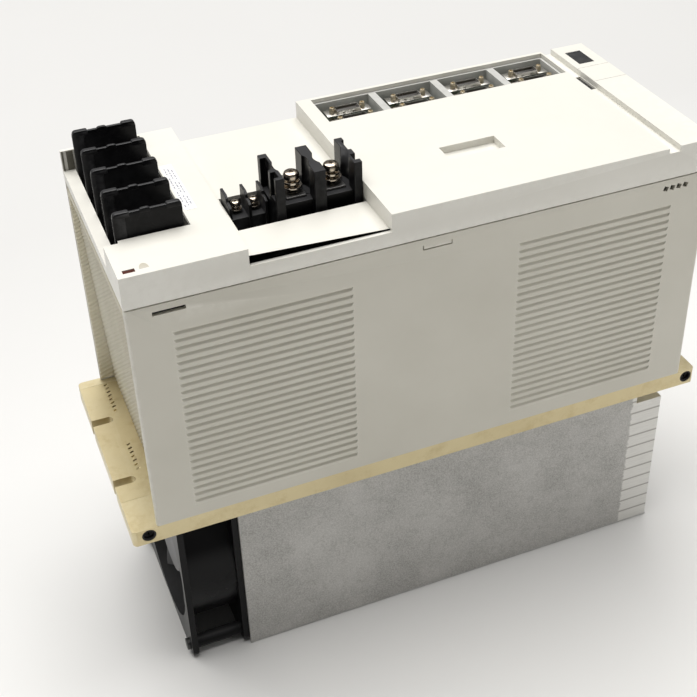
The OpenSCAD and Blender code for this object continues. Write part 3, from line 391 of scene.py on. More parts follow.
slotFinish = {
    "passivated": "chromate", "sink_alloy": "cast", "sheet_steel": "sheet", "steel": "steel",
    "black_steel": "blackSteel", "copper": "copper", "plate_alloy": "plate", "shell_metal": "shell",
    "brass_post": "brass", "cover_plastic": "cover", "case_plastic": "case", "panel_plastic": "panel",
    "grey_plastic": "frame", "black_plastic": "black", "blue_plastic": "blue", "lead_rubber": "rubber",
    "label_film": "label", "lens": "lens", "window_glass": "window", "board": "board",
    "can_sleeve": "sleeve", "ribbon": "ribbon",
}
nodeSlot = {row["node"]: row["material_slot"] for row in frame["record"]["subparts"]}
nodeBody = {node: body for body, members in frame["record"]["behaviour"]["bodies"].items()
            for node in members}
for name, obj in frame["nodes"].items():
    obj.data.materials.clear()
    obj.data.materials.append(mats[slotFinish[nodeSlot[name]]])


# ---------- mesh helpers ----------
def inScene(name, data):
    obj = bpy.data.objects.new(name, data)
    bpy.context.scene.collection.objects.link(obj)
    return obj


def addPiece(name, mesh, body, finish, replaced=(), smooth=35):
    obj = inScene(name, mesh)
    mesh.materials.clear()
    mesh.materials.append(mats[finish])
    if smooth:
        mesh.shade_smooth()
        mesh.set_sharp_from_angle(angle=math.radians(smooth))
    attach(obj, body)
    if replaced:
        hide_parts(*replaced)
    return obj


def meshFrom(bm, name):
    bmesh.ops.remove_doubles(bm, verts=bm.verts, dist=1.5e-6)
    bmesh.ops.dissolve_degenerate(bm, edges=bm.edges, dist=1e-6)
    loose = [v for v in bm.verts if not v.link_faces]
    bmesh.ops.delete(bm, geom=loose, context="VERTS")
    mesh = bpy.data.meshes.new(name)
    bm.normal_update()
    bm.to_mesh(mesh)
    bm.free()
    return mesh


def faceOut(bm):
    bmesh.ops.recalc_face_normals(bm, faces=bm.faces)


# Strip of faces between two closed loops of points
def skin(bm, a, b):
    for k in range(len(a)):
        m = (k + 1) % len(a)
        bm.faces.new((a[k], a[m], b[m], b[k]))


def merged(bm):
    bmesh.ops.remove_doubles(bm, verts=bm.verts, dist=2e-6)
    bmesh.ops.dissolve_limit(bm, angle_limit=math.radians(0.8), verts=bm.verts, edges=bm.edges)
    return bm


# Merged copy of a CAD node as clean faces
def cleanCopy(node):
    bm = bmesh.new()
    bm.from_mesh(frame["nodes"][node].data)
    return merged(bm)


def sharpEdges(bm, angle, keep=None):
    found = []
    for e in bm.edges:
        if len(e.link_faces) == 2 and e.calc_face_angle(0) > math.radians(angle):
            if keep is None or keep(e):
                found.append(e)
    return found


def roundEdges(bm, edges, width, segments=2):
    if edges:
        bmesh.ops.bevel(bm, geom=edges, offset=width * mm, offset_type="OFFSET", segments=segments,
                        profile=0.5, affect="EDGES", clamp_overlap=True, harden_normals=False)


# A CAD node with softened edges, standing for it
def softNode(node, width, segments=2, finish=None, angle=28, keep=None, smooth=35, lift=None):
    bm = cleanCopy(node)
    if lift:
        low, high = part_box(node)
        for v in bm.verts:
            outer = min(v.co.x - low.x, high.x - v.co.x, v.co.y - low.y,
                        high.y - v.co.y) < coverWall * mm
            if outer and abs(v.co.z - lift[0].z) < 2e-5:
                v.co.z += lift[1] * mm
    roundEdges(bm, sharpEdges(bm, angle, keep), width, segments)
    slot = nodeSlot[node]
    obj = addPiece(node + "_soft", meshFrom(bm, node), nodeBody[node], finish or slotFinish[slot],
                   [node], smooth)
    weighted = obj.modifiers.new("weighted", "WEIGHTED_NORMAL")
    weighted.keep_sharp = True
    return obj


def longEdge(limit):
    return lambda e: e.calc_length() > limit * mm


# ---------- geometry node trees ----------
def newTree(name, inputs):
    tree = bpy.data.node_groups.new(name, "GeometryNodeTree")
    tree.interface.new_socket(name="Geometry", in_out="OUTPUT", socket_type="NodeSocketGeometry")
    for label, kind, default in inputs:
        item = tree.interface.new_socket(name=label, in_out="INPUT", socket_type=kind)
        if default is not None:
            item.default_value = default
    return tree, tree.nodes.new("NodeGroupInput"), tree.nodes.new("NodeGroupOutput")


# One turned copy of the item on each point, realised and painted
def placeItems(tree, gin, gout, points, spin):
    n, l = tree.nodes, tree.links
    info = n.new("GeometryNodeObjectInfo")
    place = n.new("GeometryNodeInstanceOnPoints")
    real = n.new("GeometryNodeRealizeInstances")
    paint = n.new("GeometryNodeSetMaterial")
    l.new(gin.outputs["Item"], info.inputs["Object"])
    l.new(points.outputs[0], place.inputs["Points"])
    l.new(info.outputs["Geometry"], place.inputs["Instance"])
    l.new(spin.outputs[0], place.inputs["Rotation"])
    l.new(place.outputs["Instances"], real.inputs["Geometry"])
    l.new(real.outputs["Geometry"], paint.inputs["Geometry"])
    l.new(gin.outputs["Material"], paint.inputs["Material"])
    l.new(paint.outputs["Geometry"], gout.inputs["Geometry"])


# Copies of one item along a row, or rows of rows
def buildRowTree():
    tree, gin, gout = newTree("itemRow", [
        ("Item", "NodeSocketObject", None), ("Count", "NodeSocketInt", 2), ("Start", "NodeSocketVector", (0, 0, 0)),
        ("Step", "NodeSocketVector", (0, 0, 0)), ("Rows", "NodeSocketInt", 1),
        ("Row Step", "NodeSocketVector", (0, 0, 0)), ("Turn Spread", "NodeSocketFloat", 0.0),
        ("Seed", "NodeSocketInt", 3), ("Material", "NodeSocketMaterial", None)])
    n, l = tree.nodes, tree.links
    outer = n.new("GeometryNodeMeshLine")
    inner = n.new("GeometryNodeMeshLine")
    l.new(gin.outputs["Rows"], outer.inputs["Count"])
    l.new(gin.outputs["Row Step"], outer.inputs["Offset"])
    l.new(gin.outputs["Start"], outer.inputs["Start Location"])
    l.new(gin.outputs["Count"], inner.inputs["Count"])
    l.new(gin.outputs["Step"], inner.inputs["Offset"])
    spread = n.new("GeometryNodeInstanceOnPoints")
    l.new(outer.outputs["Mesh"], spread.inputs["Points"])
    l.new(inner.outputs["Mesh"], spread.inputs["Instance"])
    points = n.new("GeometryNodeRealizeInstances")
    l.new(spread.outputs["Instances"], points.inputs["Geometry"])
    turn = n.new("FunctionNodeRandomValue")
    turn.data_type = "FLOAT"
    flip = n.new("ShaderNodeMath")
    flip.operation = "MULTIPLY"
    flip.inputs[1].default_value = -1.0
    l.new(gin.outputs["Turn Spread"], flip.inputs[0])
    l.new(flip.outputs[0], turn.inputs[2])
    l.new(gin.outputs["Turn Spread"], turn.inputs[3])
    l.new(gin.outputs["Seed"], turn.inputs["Seed"])
    spin = n.new("ShaderNodeCombineXYZ")
    l.new(turn.outputs[1], spin.inputs["Z"])
    placeItems(tree, gin, gout, points, spin)
    return tree


# Copies of one item turned round an axis along X
def buildRingTree():
    tree, gin, gout = newTree("itemRing", [
        ("Item", "NodeSocketObject", None), ("Count", "NodeSocketInt", 7), ("Centre", "NodeSocketVector", (0, 0, 0)),
        ("Material", "NodeSocketMaterial", None)])
    n, l = tree.nodes, tree.links
    line = n.new("GeometryNodeMeshLine")
    l.new(gin.outputs["Count"], line.inputs["Count"])
    line.inputs["Offset"].default_value = (0, 0, 0)
    l.new(gin.outputs["Centre"], line.inputs["Start Location"])
    index = n.new("GeometryNodeInputIndex")
    share = n.new("ShaderNodeMath")
    share.operation = "DIVIDE"
    l.new(index.outputs[0], share.inputs[0])
    l.new(gin.outputs["Count"], share.inputs[1])
    full = n.new("ShaderNodeMath")
    full.operation = "MULTIPLY"
    full.inputs[1].default_value = 2 * math.pi
    l.new(share.outputs[0], full.inputs[0])
    spin = n.new("ShaderNodeCombineXYZ")
    l.new(full.outputs[0], spin.inputs["X"])
    placeItems(tree, gin, gout, line, spin)
    return tree


trees = {"row": buildRowTree(), "ring": buildRingTree()}


def inputId(tree, label):
    for item in tree.interface.items_tree:
        if item.item_type == "SOCKET" and item.in_out == "INPUT" and item.name == label:
            return item.identifier
    raise KeyError(label)


# Runs a tree and returns its result as one plain mesh
def grown(kind, name, values):
    tree = trees[kind]
    holder = inScene(name + "Holder", bpy.data.meshes.new(name + "Holder"))
    modifier = holder.modifiers.new("grow", "NODES")
    modifier.node_group = tree
    for label, value in values.items():
        modifier[inputId(tree, label)] = value
    holder.update_tag()
    graph = bpy.context.evaluated_depsgraph_get()
    mesh = bpy.data.meshes.new_from_object(holder.evaluated_get(graph), depsgraph=graph)
    bpy.data.objects.remove(holder)
    mesh.name = name
    return mesh


def dropItem(obj):
    mesh = obj.data
    bpy.data.objects.remove(obj)
    if mesh.users == 0:
        bpy.data.meshes.remove(mesh)


def rowPiece(name, itemMesh, start, step, count, body, finish, replaced=(), rows=1, rowStep=(0, 0, 0),
             turnSpread=0.0, seed=3, smooth=35):
    item = inScene(name + "Item", itemMesh)
    mesh = grown("row", name, {"Item": item, "Count": count, "Start": tuple(start), "Step": tuple(step),
                               "Rows": rows, "Row Step": tuple(rowStep), "Turn Spread": turnSpread,
                               "Seed": seed, "Material": mats[finish]})
    dropItem(item)
    return addPiece(name, mesh, body, finish, replaced, smooth)


# Joins meshes into one
def joined(name, meshes):
    bm = bmesh.new()
    for mesh in meshes:
        bm.from_mesh(mesh)
    for mesh in meshes:
        bpy.data.meshes.remove(mesh)
    return meshFrom(bm, name)


# ---------- small mesh builders, in millimetres ----------
def boxInto(bm, low, high):
    low, high = Vector(low) * mm, Vector(high) * mm
    size = high - low
    matrix = Matrix.Translation((low + high) / 2) @ Matrix.Diagonal((*size, 1))
    return bmesh.ops.create_cube(bm, size=1.0, matrix=matrix)["verts"]


# The same box, its corners in case coordinates
def caseBox(bm, low, high):
    return boxInto(bm, origin + Vector(low), origin + Vector(high))


# Turned profile of (radius, height) points, closed on the axis
def turned(name, profile, sides=32):
    bm = bmesh.new()
    rings = []
    for r, z in profile:
        if r < 1e-6:
            rings.append([bm.verts.new((0, 0, z * mm))])
        else:
            rings.append([bm.verts.new((r * mm * math.cos(2 * math.pi * i / sides),
                                        r * mm * math.sin(2 * math.pi * i / sides), z * mm))
                          for i in range(sides)])
    for a, b in zip(rings, rings[1:]):
        for i in range(sides):
            j = (i + 1) % sides
            corners = []
            for v in (a[i % len(a)], a[j % len(a)], b[j % len(b)], b[i % len(b)]):
                if v not in corners:
                    corners.append(v)
            if len(corners) > 2:
                bm.faces.new(corners)
    faceOut(bm)
    return meshFrom(bm, name)


# Subtracts b from a with the exact solver
def carved(name, a, b):
    objA, objB = inScene(name + "A", a), inScene(name + "B", b)
    cut = objA.modifiers.new("cut", "BOOLEAN")
    cut.operation = "DIFFERENCE"
    cut.solver = "EXACT"
    cut.use_self = True
    cut.object = objB
    graph = bpy.context.evaluated_depsgraph_get()
    mesh = bpy.data.meshes.new_from_object(objA.evaluated_get(graph), depsgraph=graph)
    dropItem(objA)
    dropItem(objB)
    mesh.name = name
    return mesh


# Pan head screw with a cross recess; the head's underside is at zero
def panScrewMesh(name, headRadius, headHeight, shankRadius, shankLength, recess, sides=36, tilt=20):
    arc = [(headRadius * math.cos(math.radians(a)) * 0.34 + headRadius * 0.66,
            headHeight * (0.45 + 0.55 * math.sin(math.radians(a)))) for a in (0, 22, 45, 68)]
    profile = [(0, -shankLength), (shankRadius * 0.8, -shankLength), (shankRadius, -shankLength + 0.6),
               (shankRadius, 0), (headRadius * 0.96, 0), (headRadius, headHeight * 0.12)] + arc
    profile += [(headRadius * 0.4, headHeight * 1.02), (0, headHeight * 1.03)]
    head = turned(name, profile, sides)
    bm = bmesh.new()
    arm = recess * 0.19
    plan = [(recess, -arm), (recess, arm), (arm * 1.6, arm * 1.6)]
    floorRing, topRing = [], []
    for quarter in range(4):
        spin = Matrix.Rotation(math.radians(90 * quarter + tilt), 3, "Z")
        for x, y in plan:
            shrink = 0.45 if abs(x) > arm * 2 else 0.8
            floorRing.append(bm.verts.new(spin @ Vector((x * shrink * mm, y * mm, headHeight * 0.4 * mm))))
            topRing.append(bm.verts.new(spin @ Vector((x * mm, y * mm, headHeight * 1.5 * mm))))
    bm.faces.new(list(reversed(floorRing)))
    bm.faces.new(topRing)
    skin(bm, floorRing, topRing)
    faceOut(bm)
    return carved(name, head, meshFrom(bm, name + "Cut"))


print("servo drive: helpers ready")

# ---------- shells ----------
shellSettings = {
    "front_cover": (0.7, 3, 12), "display_bezel": (0.4, 2, 6), "switch_lid": (0.4, 2, 6),
    "base_plate": (0.8, 2, 5), "lower_mounting_bracket": (0.35, 2, 5), "upper_mounting_bracket": (0.35, 2, 5),
    "link_terminal_block": (0.4, 2, 1.6), "aux_terminal_block": (0.25, 2, 1.4), "connector_frame": (0.3, 2, 4),
    "fan_frame": (0.5, 2, 3), "heat_sink": (0.5, 2, 12), "link_terminal_plates": (0.35, 2, 0.5),
    "upper_deck": (0.3, 1, 6), "terminal_bracket": (0.3, 1, 6), "capacitor_clamp": (0.3, 1, 6),
    "power_modules": (0.6, 2, 4), "current_sensors": (0.5, 2, 4), "fan_adapter_plate": (0.3, 1, 6),
    "sink_bottom_sheet": (0.3, 1, 6), "link_bars": (0.2, 1, 2), "main_terminal_plates": (0.3, 1, 2),
    "phase_bars": (0.3, 1, 3),
}
shellFinish = {"link_terminal_plates": "darkPlate", "upper_deck": "sheet"}
# Gap between the cover's lower edge and the case
coverGap = 0.45
coverFoot = 152
coverWall = 2.62
for node, (width, segments, limit) in shellSettings.items():
    softNode(node, width, segments, shellFinish.get(node), keep=longEdge(limit),
             lift=(at(0, 0, coverFoot), coverGap) if node == "front_cover" else None)
print("servo drive: shells ready")

# ---------- side case and its louvres ----------
louvreSettings = {"count": 25, "pitch": 5.0, "depth": 1.2, "upperFlank": 1.3, "lowerFlank": 1.4,
                  "endTaper": 1.6, "pocket": 1.3,
                  "blocks": ((24.0, 125.5, 132.5), (227.5, 328.0, 134.0))}


# One strip of wall with its groove, the face at v = 0 looking to -v; side -1 mirrors it
def louvreStrip(name, length, side):
    st = louvreSettings
    taper, pitch = st["endTaper"], st["pitch"]
    margin = 0.4
    us = [-margin, 0.0] + [taper * (1 - math.cos(math.radians(a))) for a in (30, 60, 90)]
    us += [length - x for x in reversed(us)]
    depths = [0, 0, 0.5, 0.87, 1, 1, 0.87, 0.5, 0, 0]
    deepest = 0.95
    drops = [0, 0, 0.5, 0.85, 1, 1, 0.85, 0.5, 0, 0]
    profile = [(0.55, 0.0, 0), (0.12, 0.0, 0), (-0.12, 0.06, 1), (-st["upperFlank"] * 0.5, 0.5, 1),
               (-st["upperFlank"] + 0.12, 0.93, 1), (-st["upperFlank"] - 0.08, 0.95, 1),
               (-st["upperFlank"] - st["lowerFlank"] + 0.25, 0.34, 1),
               (-st["upperFlank"] - st["lowerFlank"], 0.08, 1),
               (-st["upperFlank"] - st["lowerFlank"] - 0.22, 0.0, 0), (0.55 - pitch, 0.0, 0)]
    bm = bmesh.new()
    grid = []
    for u, deep, drop in zip(us, depths, drops):
        grid.append([bm.verts.new((u * mm, side * depth * st["depth"] / deepest * deep * mm,
                                   (w if fixed == 0 else w * (0.25 + 0.75 * drop)) * mm))
                     for w, depth, fixed in profile])
    back = [[bm.verts.new((u * mm, side * (st["pocket"] - 0.05) * mm, w * mm)) for w in (0.55, 0.55 - pitch)]
            for u in (us[0], us[-1])]
    for a, b in zip(grid, grid[1:]):
        for k in range(len(profile) - 1):
            bm.faces.new((a[k], a[k + 1], b[k + 1], b[k]))
    bm.faces.new([col[0] for col in grid] + [back[1][0], back[0][0]])
    bm.faces.new([col[-1] for col in reversed(grid)] + [back[0][1], back[1][1]])
    bm.faces.new(list(reversed(grid[0])) + [back[0][0], back[0][1]])
    bm.faces.new(list(grid[-1]) + [back[1][1], back[1][0]])
    bm.faces.new((back[0][0], back[1][0], back[1][1], back[0][1]))
    faceOut(bm)
    return meshFrom(bm, name)


def buildSideCase():
    st = louvreSettings
    bm = bmesh.new()
    bm.from_mesh(frame["nodes"]["side_case"].data)
    bmesh.ops.remove_doubles(bm, verts=bm.verts, dist=2e-6)
    shell = meshFrom(bm, "caseShell")
    cutter = bmesh.new()
    high = st["count"] * st["pitch"]
    for u0, u1, top in st["blocks"]:
        for v0, v1 in ((-1.0, st["pocket"]), (150.0 - st["pocket"], 151.0)):
            caseBox(cutter, (u0 - 0.4, v0, top + 0.55 - high), (u1 + 0.4, v1, top + 0.55))
    cut = carved("caseShell", shell, meshFrom(cutter, "casePockets"))
    bm = bmesh.new()
    bm.from_mesh(cut)
    bpy.data.meshes.remove(cut)
    merged(bm)

    def outerEdge(e):
        mid = (e.verts[0].co + e.verts[1].co) / 2
        inPocket = any(at(u0 - 1, 0, 0).x < mid.x < at(u1 + 1, 0, 0).x for u0, u1, _ in st["blocks"])
        return e.calc_length() > 8 * mm and not (inPocket and at(0, 0, 4).z < mid.z < at(0, 0, 138).z)
    roundEdges(bm, sharpEdges(bm, 28, outerEdge), 0.7, 3)
    addPiece("side_case_soft", meshFrom(bm, "side_case"), "drive", "case", ["side_case"], 30)
    for i, (u0, u1, top) in enumerate(st["blocks"]):
        for label, v, side in (("near", 0.0, 1), ("far", 150.0, -1)):
            rowPiece("louvres_%s_%d" % (label, i + 1), louvreStrip("louvre", u1 - u0, side), at(u0, v, top),
                     (0, 0, -st["pitch"] * mm), st["count"], "drive", "case", smooth=40)


buildSideCase()
print("servo drive: louvred case ready")

# ---------- end grille ----------
view = {"focal": 64.49, "shiftX": 0.0242, "shiftY": -0.0856, "place": (-77.1, -523.0, 516.9),
        "right": (0.93077889, -0.36391889, -0.03483811), "down": (-0.23304836, -0.51722223, -0.82351055),
        "ahead": (0.281672, 0.7746252, -0.56623023)}
grilleSettings = {"slope": 28.5, "pitch": 0.00296332, "relief": 0.8, "stepV": 0.75, "stepW": 0.6,
                  "foot": 10.0, "top": 3.4, "height": 144.6}


# Height of the slanting ribs at a place, 0 to 1; the pitch is an angle at the camera's place
def ribRelief(p):
    q = p - at(*view["place"])
    depth = q.dot(Vector(view["ahead"]))
    x, y = q.dot(Vector(view["right"])) / depth, q.dot(Vector(view["down"])) / depth
    slope = math.radians(grilleSettings["slope"])
    phase = (y * math.cos(slope) + x * math.sin(slope)) / grilleSettings["pitch"] * 2 * math.pi
    return 0.5 + 0.5 * math.cos(phase)


# Ribbed sheet over a grid of case positions; place(i, j) gives (u, v, w) and the way out
def ribbedSheet(name, columns, rows, place, outward, thick):
    bm = bmesh.new()
    front, back = [], []
    for i in range(columns + 1):
        a, b = [], []
        for j in range(rows + 1):
            spot = at(*place(i / columns, j / rows))
            edge = min(i, columns - i, j, rows - j) == 0
            lift = 0 if edge else ribRelief(spot) * grilleSettings["relief"] * mm
            a.append(bm.verts.new(spot + outward * lift))
            if edge:
                b.append(bm.verts.new(spot - outward * thick * mm))
            else:
                b.append(None)
        front.append(a)
        back.append(b)
    for i in range(columns):
        for j in range(rows):
            bm.faces.new((front[i][j], front[i + 1][j], front[i + 1][j + 1], front[i][j + 1]))
    for i in range(columns):
        for j in (0, rows):
            bm.faces.new((front[i][j], front[i + 1][j], back[i + 1][j], back[i][j]))
    for j in range(rows):
        for i in (0, columns):
            bm.faces.new((front[i][j], front[i][j + 1], back[i][j + 1], back[i][j]))
    ring = [back[i][0] for i in range(columns)] + [back[columns][j] for j in range(rows)]
    ring += [back[i][rows] for i in range(columns, 0, -1)] + [back[0][j] for j in range(rows, 0, -1)]
    bm.faces.new(ring)
    faceOut(bm)
    return meshFrom(bm, name)


def buildGrille():
    gs = grilleSettings
    lean = (gs["foot"] - gs["top"]) / gs["height"]
    panel = ribbedSheet("endGrille", int(144.6 / gs["stepV"]), int(gs["height"] / gs["stepW"]),
                        lambda i, j: (gs["foot"] - lean * gs["height"] * j, 2.7 + 144.6 * i, gs["height"] * j),
                        Vector((-1, 0, 0)), 1.0)
    rail = bmesh.new()
    caseBox(rail, (0.2, 2.7, 144.6), (4.8, 147.3, 147.6))
    roundEdges(rail, list(rail.edges), 0.5, 2)
    addPiece("end_grille", joined("endGrille", [panel, meshFrom(rail, "rail")]), "drive", "panel",
             ["end_panel"], 50)
    cheek = ribbedSheet("cheek", 24, int(143 / gs["stepW"]),
                        lambda i, j: (0.4 + (11.2 - lean * 143 * j) * i, 147.45, 1.0 + 143 * j),
                        Vector((0, -1, 0)), 0.3)
    addPiece("grille_cheek", cheek, "drive", "cheek", smooth=50)


buildGrille()
print("servo drive: end grille ready")

# ---------- main terminal block ----------
barrierSettings = {"thick": 2.0, "pad": 3.5, "corner": 2.4, "low": 102.0, "top": 187.0, "u": (7.4, 45.2),
                   "seat": 146.0, "pitch": 25.4, "first": 38.8}


# Plate standing in the u-w plane with rounded top corners, centred on v = 0
def standingPlate(bm, u0, u1, w0, w1, thick, corners):
    left, right = corners
    outline = [(u0, w0), (u1, w0)]
    outline += [(u1 - right + right * math.cos(math.radians(a)), w1 - right + right * math.sin(math.radians(a)))
                for a in (0, 18, 36, 54, 72, 90)] if right else [(u1, w1)]
    outline += [(u0 + left - left * math.sin(math.radians(a)), w1 - left + left * math.cos(math.radians(a)))
                for a in (0, 18, 36, 54, 72, 90)] if left else [(u0, w1)]
    rings = [[bm.verts.new((u * mm, y * mm, w * mm)) for u, w in outline] for y in (-thick / 2, thick / 2)]
    bm.faces.new(rings[0])
    bm.faces.new(list(reversed(rings[1])))
    for k in range(len(outline)):
        m = (k + 1) % len(outline)
        bm.faces.new((rings[0][k], rings[1][k], rings[1][m], rings[0][m]))


def buildMainBlock():
    bs = barrierSettings
    u0, u1 = bs["u"]
    bm = bmesh.new()
    standingPlate(bm, u0, u1, bs["low"], bs["top"] - 0.8, bs["thick"], (bs["corner"], bs["corner"]))
    standingPlate(bm, u0, u0 + 7.0, bs["low"], bs["top"] - 0.4, bs["thick"] + 0.7, (bs["corner"], 0.6))
    standingPlate(bm, u0 + 0.3, u0 + 9.4, bs["top"] - 3.2, bs["top"], bs["pad"], (bs["corner"] - 0.3, 1.2))
    standingPlate(bm, u1 - 8.6, u1 - 0.3, bs["top"] - 3.2, bs["top"], bs["pad"], (1.2, bs["corner"] - 0.3))
    standingPlate(bm, u0 + 14.5, u0 + 21.0, bs["top"] - 3, bs["top"], bs["thick"] + 0.1, (2.0, 2.0))
    faceOut(bm)
    roundEdges(bm, sharpEdges(bm, 50, lambda e: max(v.co.z for v in e.verts) > 150 * mm), 0.45, 2)
    rowPiece("main_barriers", meshFrom(bm, "barrier"), at(0, bs["first"], 0), (0, bs["pitch"] * mm, 0), 5,
             "drive", "black", ["main_terminal_block"], smooth=40)
    base = bmesh.new()
    far = bs["first"] + 4 * bs["pitch"]
    caseBox(base, (u0 + 1, bs["first"], bs["low"]), (u1 - 1, far, bs["seat"]))
    caseBox(base, (u0 + 6, bs["first"] - 6, bs["low"]), (u1 - 6, far + 5.6, bs["low"] + 8))
    roundEdges(base, list(base.edges), 0.5, 2)
    addPiece("main_block_body", meshFrom(base, "mainBody"), "drive", "black")


buildMainBlock()

# ---------- terminal screws ----------
screwSettings = {"main": (5.6, 3.6, 3.0, 14.0, 3.0), "link": (4.6, 3.9, 2.45, 12.0, 1.9),
                 "aux": (2.8, 2.3, 1.4, 6.0, 1.2)}


# Spring washer with its cut, between heights low and high
def springWasher(name, inner, outer, low, high, lift=0.5, sides=28):
    bm = bmesh.new()
    rings = []
    for i in range(sides):
        a = math.radians(6) + (2 * math.pi - math.radians(12)) * i / (sides - 1)
        rise = lift * i / (sides - 1)
        ring = []
        for r, z in ((inner, low), (outer, low), (outer, high), (inner, high)):
            ring.append(bm.verts.new((r * math.cos(a) * mm, r * math.sin(a) * mm, (z + rise) * mm)))
        rings.append(ring)
    for a, b in zip(rings, rings[1:]):
        skin(bm, a, b)
    bm.faces.new(rings[0])
    bm.faces.new(list(reversed(rings[-1])))
    faceOut(bm)
    roundEdges(bm, [e for e in bm.edges if e.calc_length() < 20 * mm and len(e.link_faces) == 2
                    and e.calc_face_angle(0) > 1.0], 0.12, 1)
    return meshFrom(bm, name)


def flatWasher(name, inner, outer, low, high):
    edge = 0.18
    return turned(name, [(inner, low), (outer - edge, low), (outer, low + edge), (outer, high - edge),
                         (outer - edge, high), (inner, high), (inner, low)], 36)


def buildScrews():
    h, t, r, l, c = screwSettings["main"]
    item = [panScrewMesh("mainScrew", h, t, r, l, c), springWasher("sw", 3.1, 5.4, -1.7, -0.2),
            flatWasher("fw", 3.1, 6.4, -3.4, -1.9)]
    rowPiece("main_screws", joined("mainScrew", item), at(26, 51.5, 150.0), (0, 25.4 * mm, 0), 4, "drive",
             "steel", ["main_terminal_screws"], turnSpread=0.9, seed=5, smooth=40)
    h, t, r, l, c = screwSettings["link"]
    item = [panScrewMesh("linkScrew", h, t, r, l, c), springWasher("sw", 2.6, 4.7, -3.3, -2.0, 0.6),
            flatWasher("fw", 2.6, 5.9, -5.2, -4.3)]
    rowPiece("link_screws", joined("linkScrew", item), at(111.8, 54.5, 176.0), (23.6 * mm, 0, 0), 2, "drive",
             "screw", ["link_terminal_screws", "link_washers"], turnSpread=0.7, seed=11, smooth=40)
    h, t, r, l, c = screwSettings["aux"]
    item = [panScrewMesh("auxScrew", h, t, r, l, c, 28), springWasher("sw", 1.5, 2.7, -1.5, -0.7, 0.35),
            flatWasher("fw", 1.5, 3.7, -2.6, -1.9)]
    rowPiece("aux_screws", joined("auxScrew", item), at(81.1, 64, 161.0), (10.6 * mm, 0, 0), 2, "drive",
             "screw", ["aux_terminal_screws"], turnSpread=0.8, seed=4, smooth=40)


buildScrews()
print("servo drive: terminals ready")

# ---------- connectors ----------
connectorSettings = {"count": 4, "first": 178.0, "step": 41.67, "rows": (122.5, 14.0), "floor": 158.0,
                     "shellTop": 10.6, "post": 10.1, "pins": 10}


# Rounded rectangle ring pulled up between two heights
def roundTube(bm, halfU, halfV, corner, wall, low, high):
    def outline(a, b, r):
        points = []
        for cx, cy, start in ((a - r, b - r, 0), (-a + r, b - r, 90), (-a + r, -b + r, 180), (a - r, -b + r, 270)):
            for k in range(5):
                t = math.radians(start + 22.5 * k)
                points.append((cx + r * math.cos(t), cy + r * math.sin(t)))
        return points
    outer, inner = outline(halfU, halfV, corner), outline(halfU - wall, halfV - wall, max(corner - wall, 0.15))
    loops = []
    for points, z in ((outer, low), (outer, high - 0.25), (outline(halfU - 0.2, halfV - 0.2, corner - 0.15), high),
                      (inner, high), (inner, low)):
        loops.append([bm.verts.new((x * mm, y * mm, z * mm)) for x, y in points])
    loops.append(loops[0])
    for a, b in zip(loops, loops[1:]):
        skin(bm, a, b)


def bevelBox(bm, low, high, width=0.2):
    verts = boxInto(bm, low, high)
    edges = list({e for v in verts for e in v.link_edges})
    roundEdges(bm, edges, width, 2)


def buildConnectors():
    cs = connectorSettings
    rowStart = at(cs["first"], cs["rows"][0], cs["floor"])
    step, rowStep = (cs["step"] * mm, 0, 0), (0, cs["rows"][1] * mm, 0)

    def row(name, mesh, finish, slot, replaced, smooth=40):
        rowPiece(name, mesh, rowStart, step, cs["count"], "drive", finish, replaced, rows=2,
                 rowStep=rowStep, smooth=smooth)
    shell = bmesh.new()
    roundTube(shell, 8.1, 3.6, 1.3, 0.55, 0.0, cs["shellTop"])
    faceOut(shell)
    for s in (-1, 1):
        bevelBox(shell, (s * 11.4 - 3.3, -4.6, 7.2), (s * 11.4 + 3.3, 4.6, 8.6), 0.25)
        bevelBox(shell, (-8.3, s * 4.1 - 0.45, 7.3), (8.3, s * 4.1 + 0.45, 8.5), 0.15)
        bevelBox(shell, (s * 3.4 - 0.9, -3.85, 8.8), (s * 3.4 + 0.9, -3.55, 9.9), 0.1)
    row("connector_shell_row", meshFrom(shell, "shell"), "shell", "shell_metal", ["connector_shells"])
    insert = bmesh.new()
    bevelBox(insert, (-7.5, -3.0, 0.2), (7.5, 3.0, 6.5), 0.3)
    bevelBox(insert, (-6.5, -1.3, 6.3), (6.5, 1.3, 9.8), 0.3)
    for s in (-1, 1):
        bevelBox(insert, (s * 7.05 - 0.35, -2.6, 6.3), (s * 7.05 + 0.35, 2.6, 9.9), 0.2)
    row("connector_insert_row", meshFrom(insert, "insert"), "insert", "black_plastic", ["connector_inserts"])
    pins = bmesh.new()
    for k in range(cs["pins"]):
        u = -5.7 + 11.4 * k / (cs["pins"] - 1)
        for s in (-1, 1):
            boxInto(pins, (u - 0.22, s * 1.38 - 0.12, 6.4), (u + 0.22, s * 1.38 + 0.12, 9.5))
    row("connector_contact_row", meshFrom(pins, "contacts"), "brass", "brass_post", [], 0)
    posts = []
    for s in (-1, 1):
        post = turned("post", [(0, 0.4), (1.35, 0.4), (1.35, 8.5), (1.75, 8.7), (1.9, 8.9), (1.9, 11.6),
                               (1.6, 12.2), (1.1, 12.25), (0.9, 11.9), (0.85, 8.5), (0, 8.2)], 6)
        for v in post.vertices:
            v.co.x += s * cs["post"] * mm
        posts.append(post)
    row("connector_post_row", joined("posts", posts), "brass", "brass_post", ["connector_posts"], 30)


buildConnectors()
print("servo drive: connectors ready")

# ---------- fan ----------
fanSettings = {"blades": 7, "hub": 29.8, "tip": 54.3, "centre": (26.5, 67.6, -70.8), "chord": 21.0,
               "thick": 1.4}


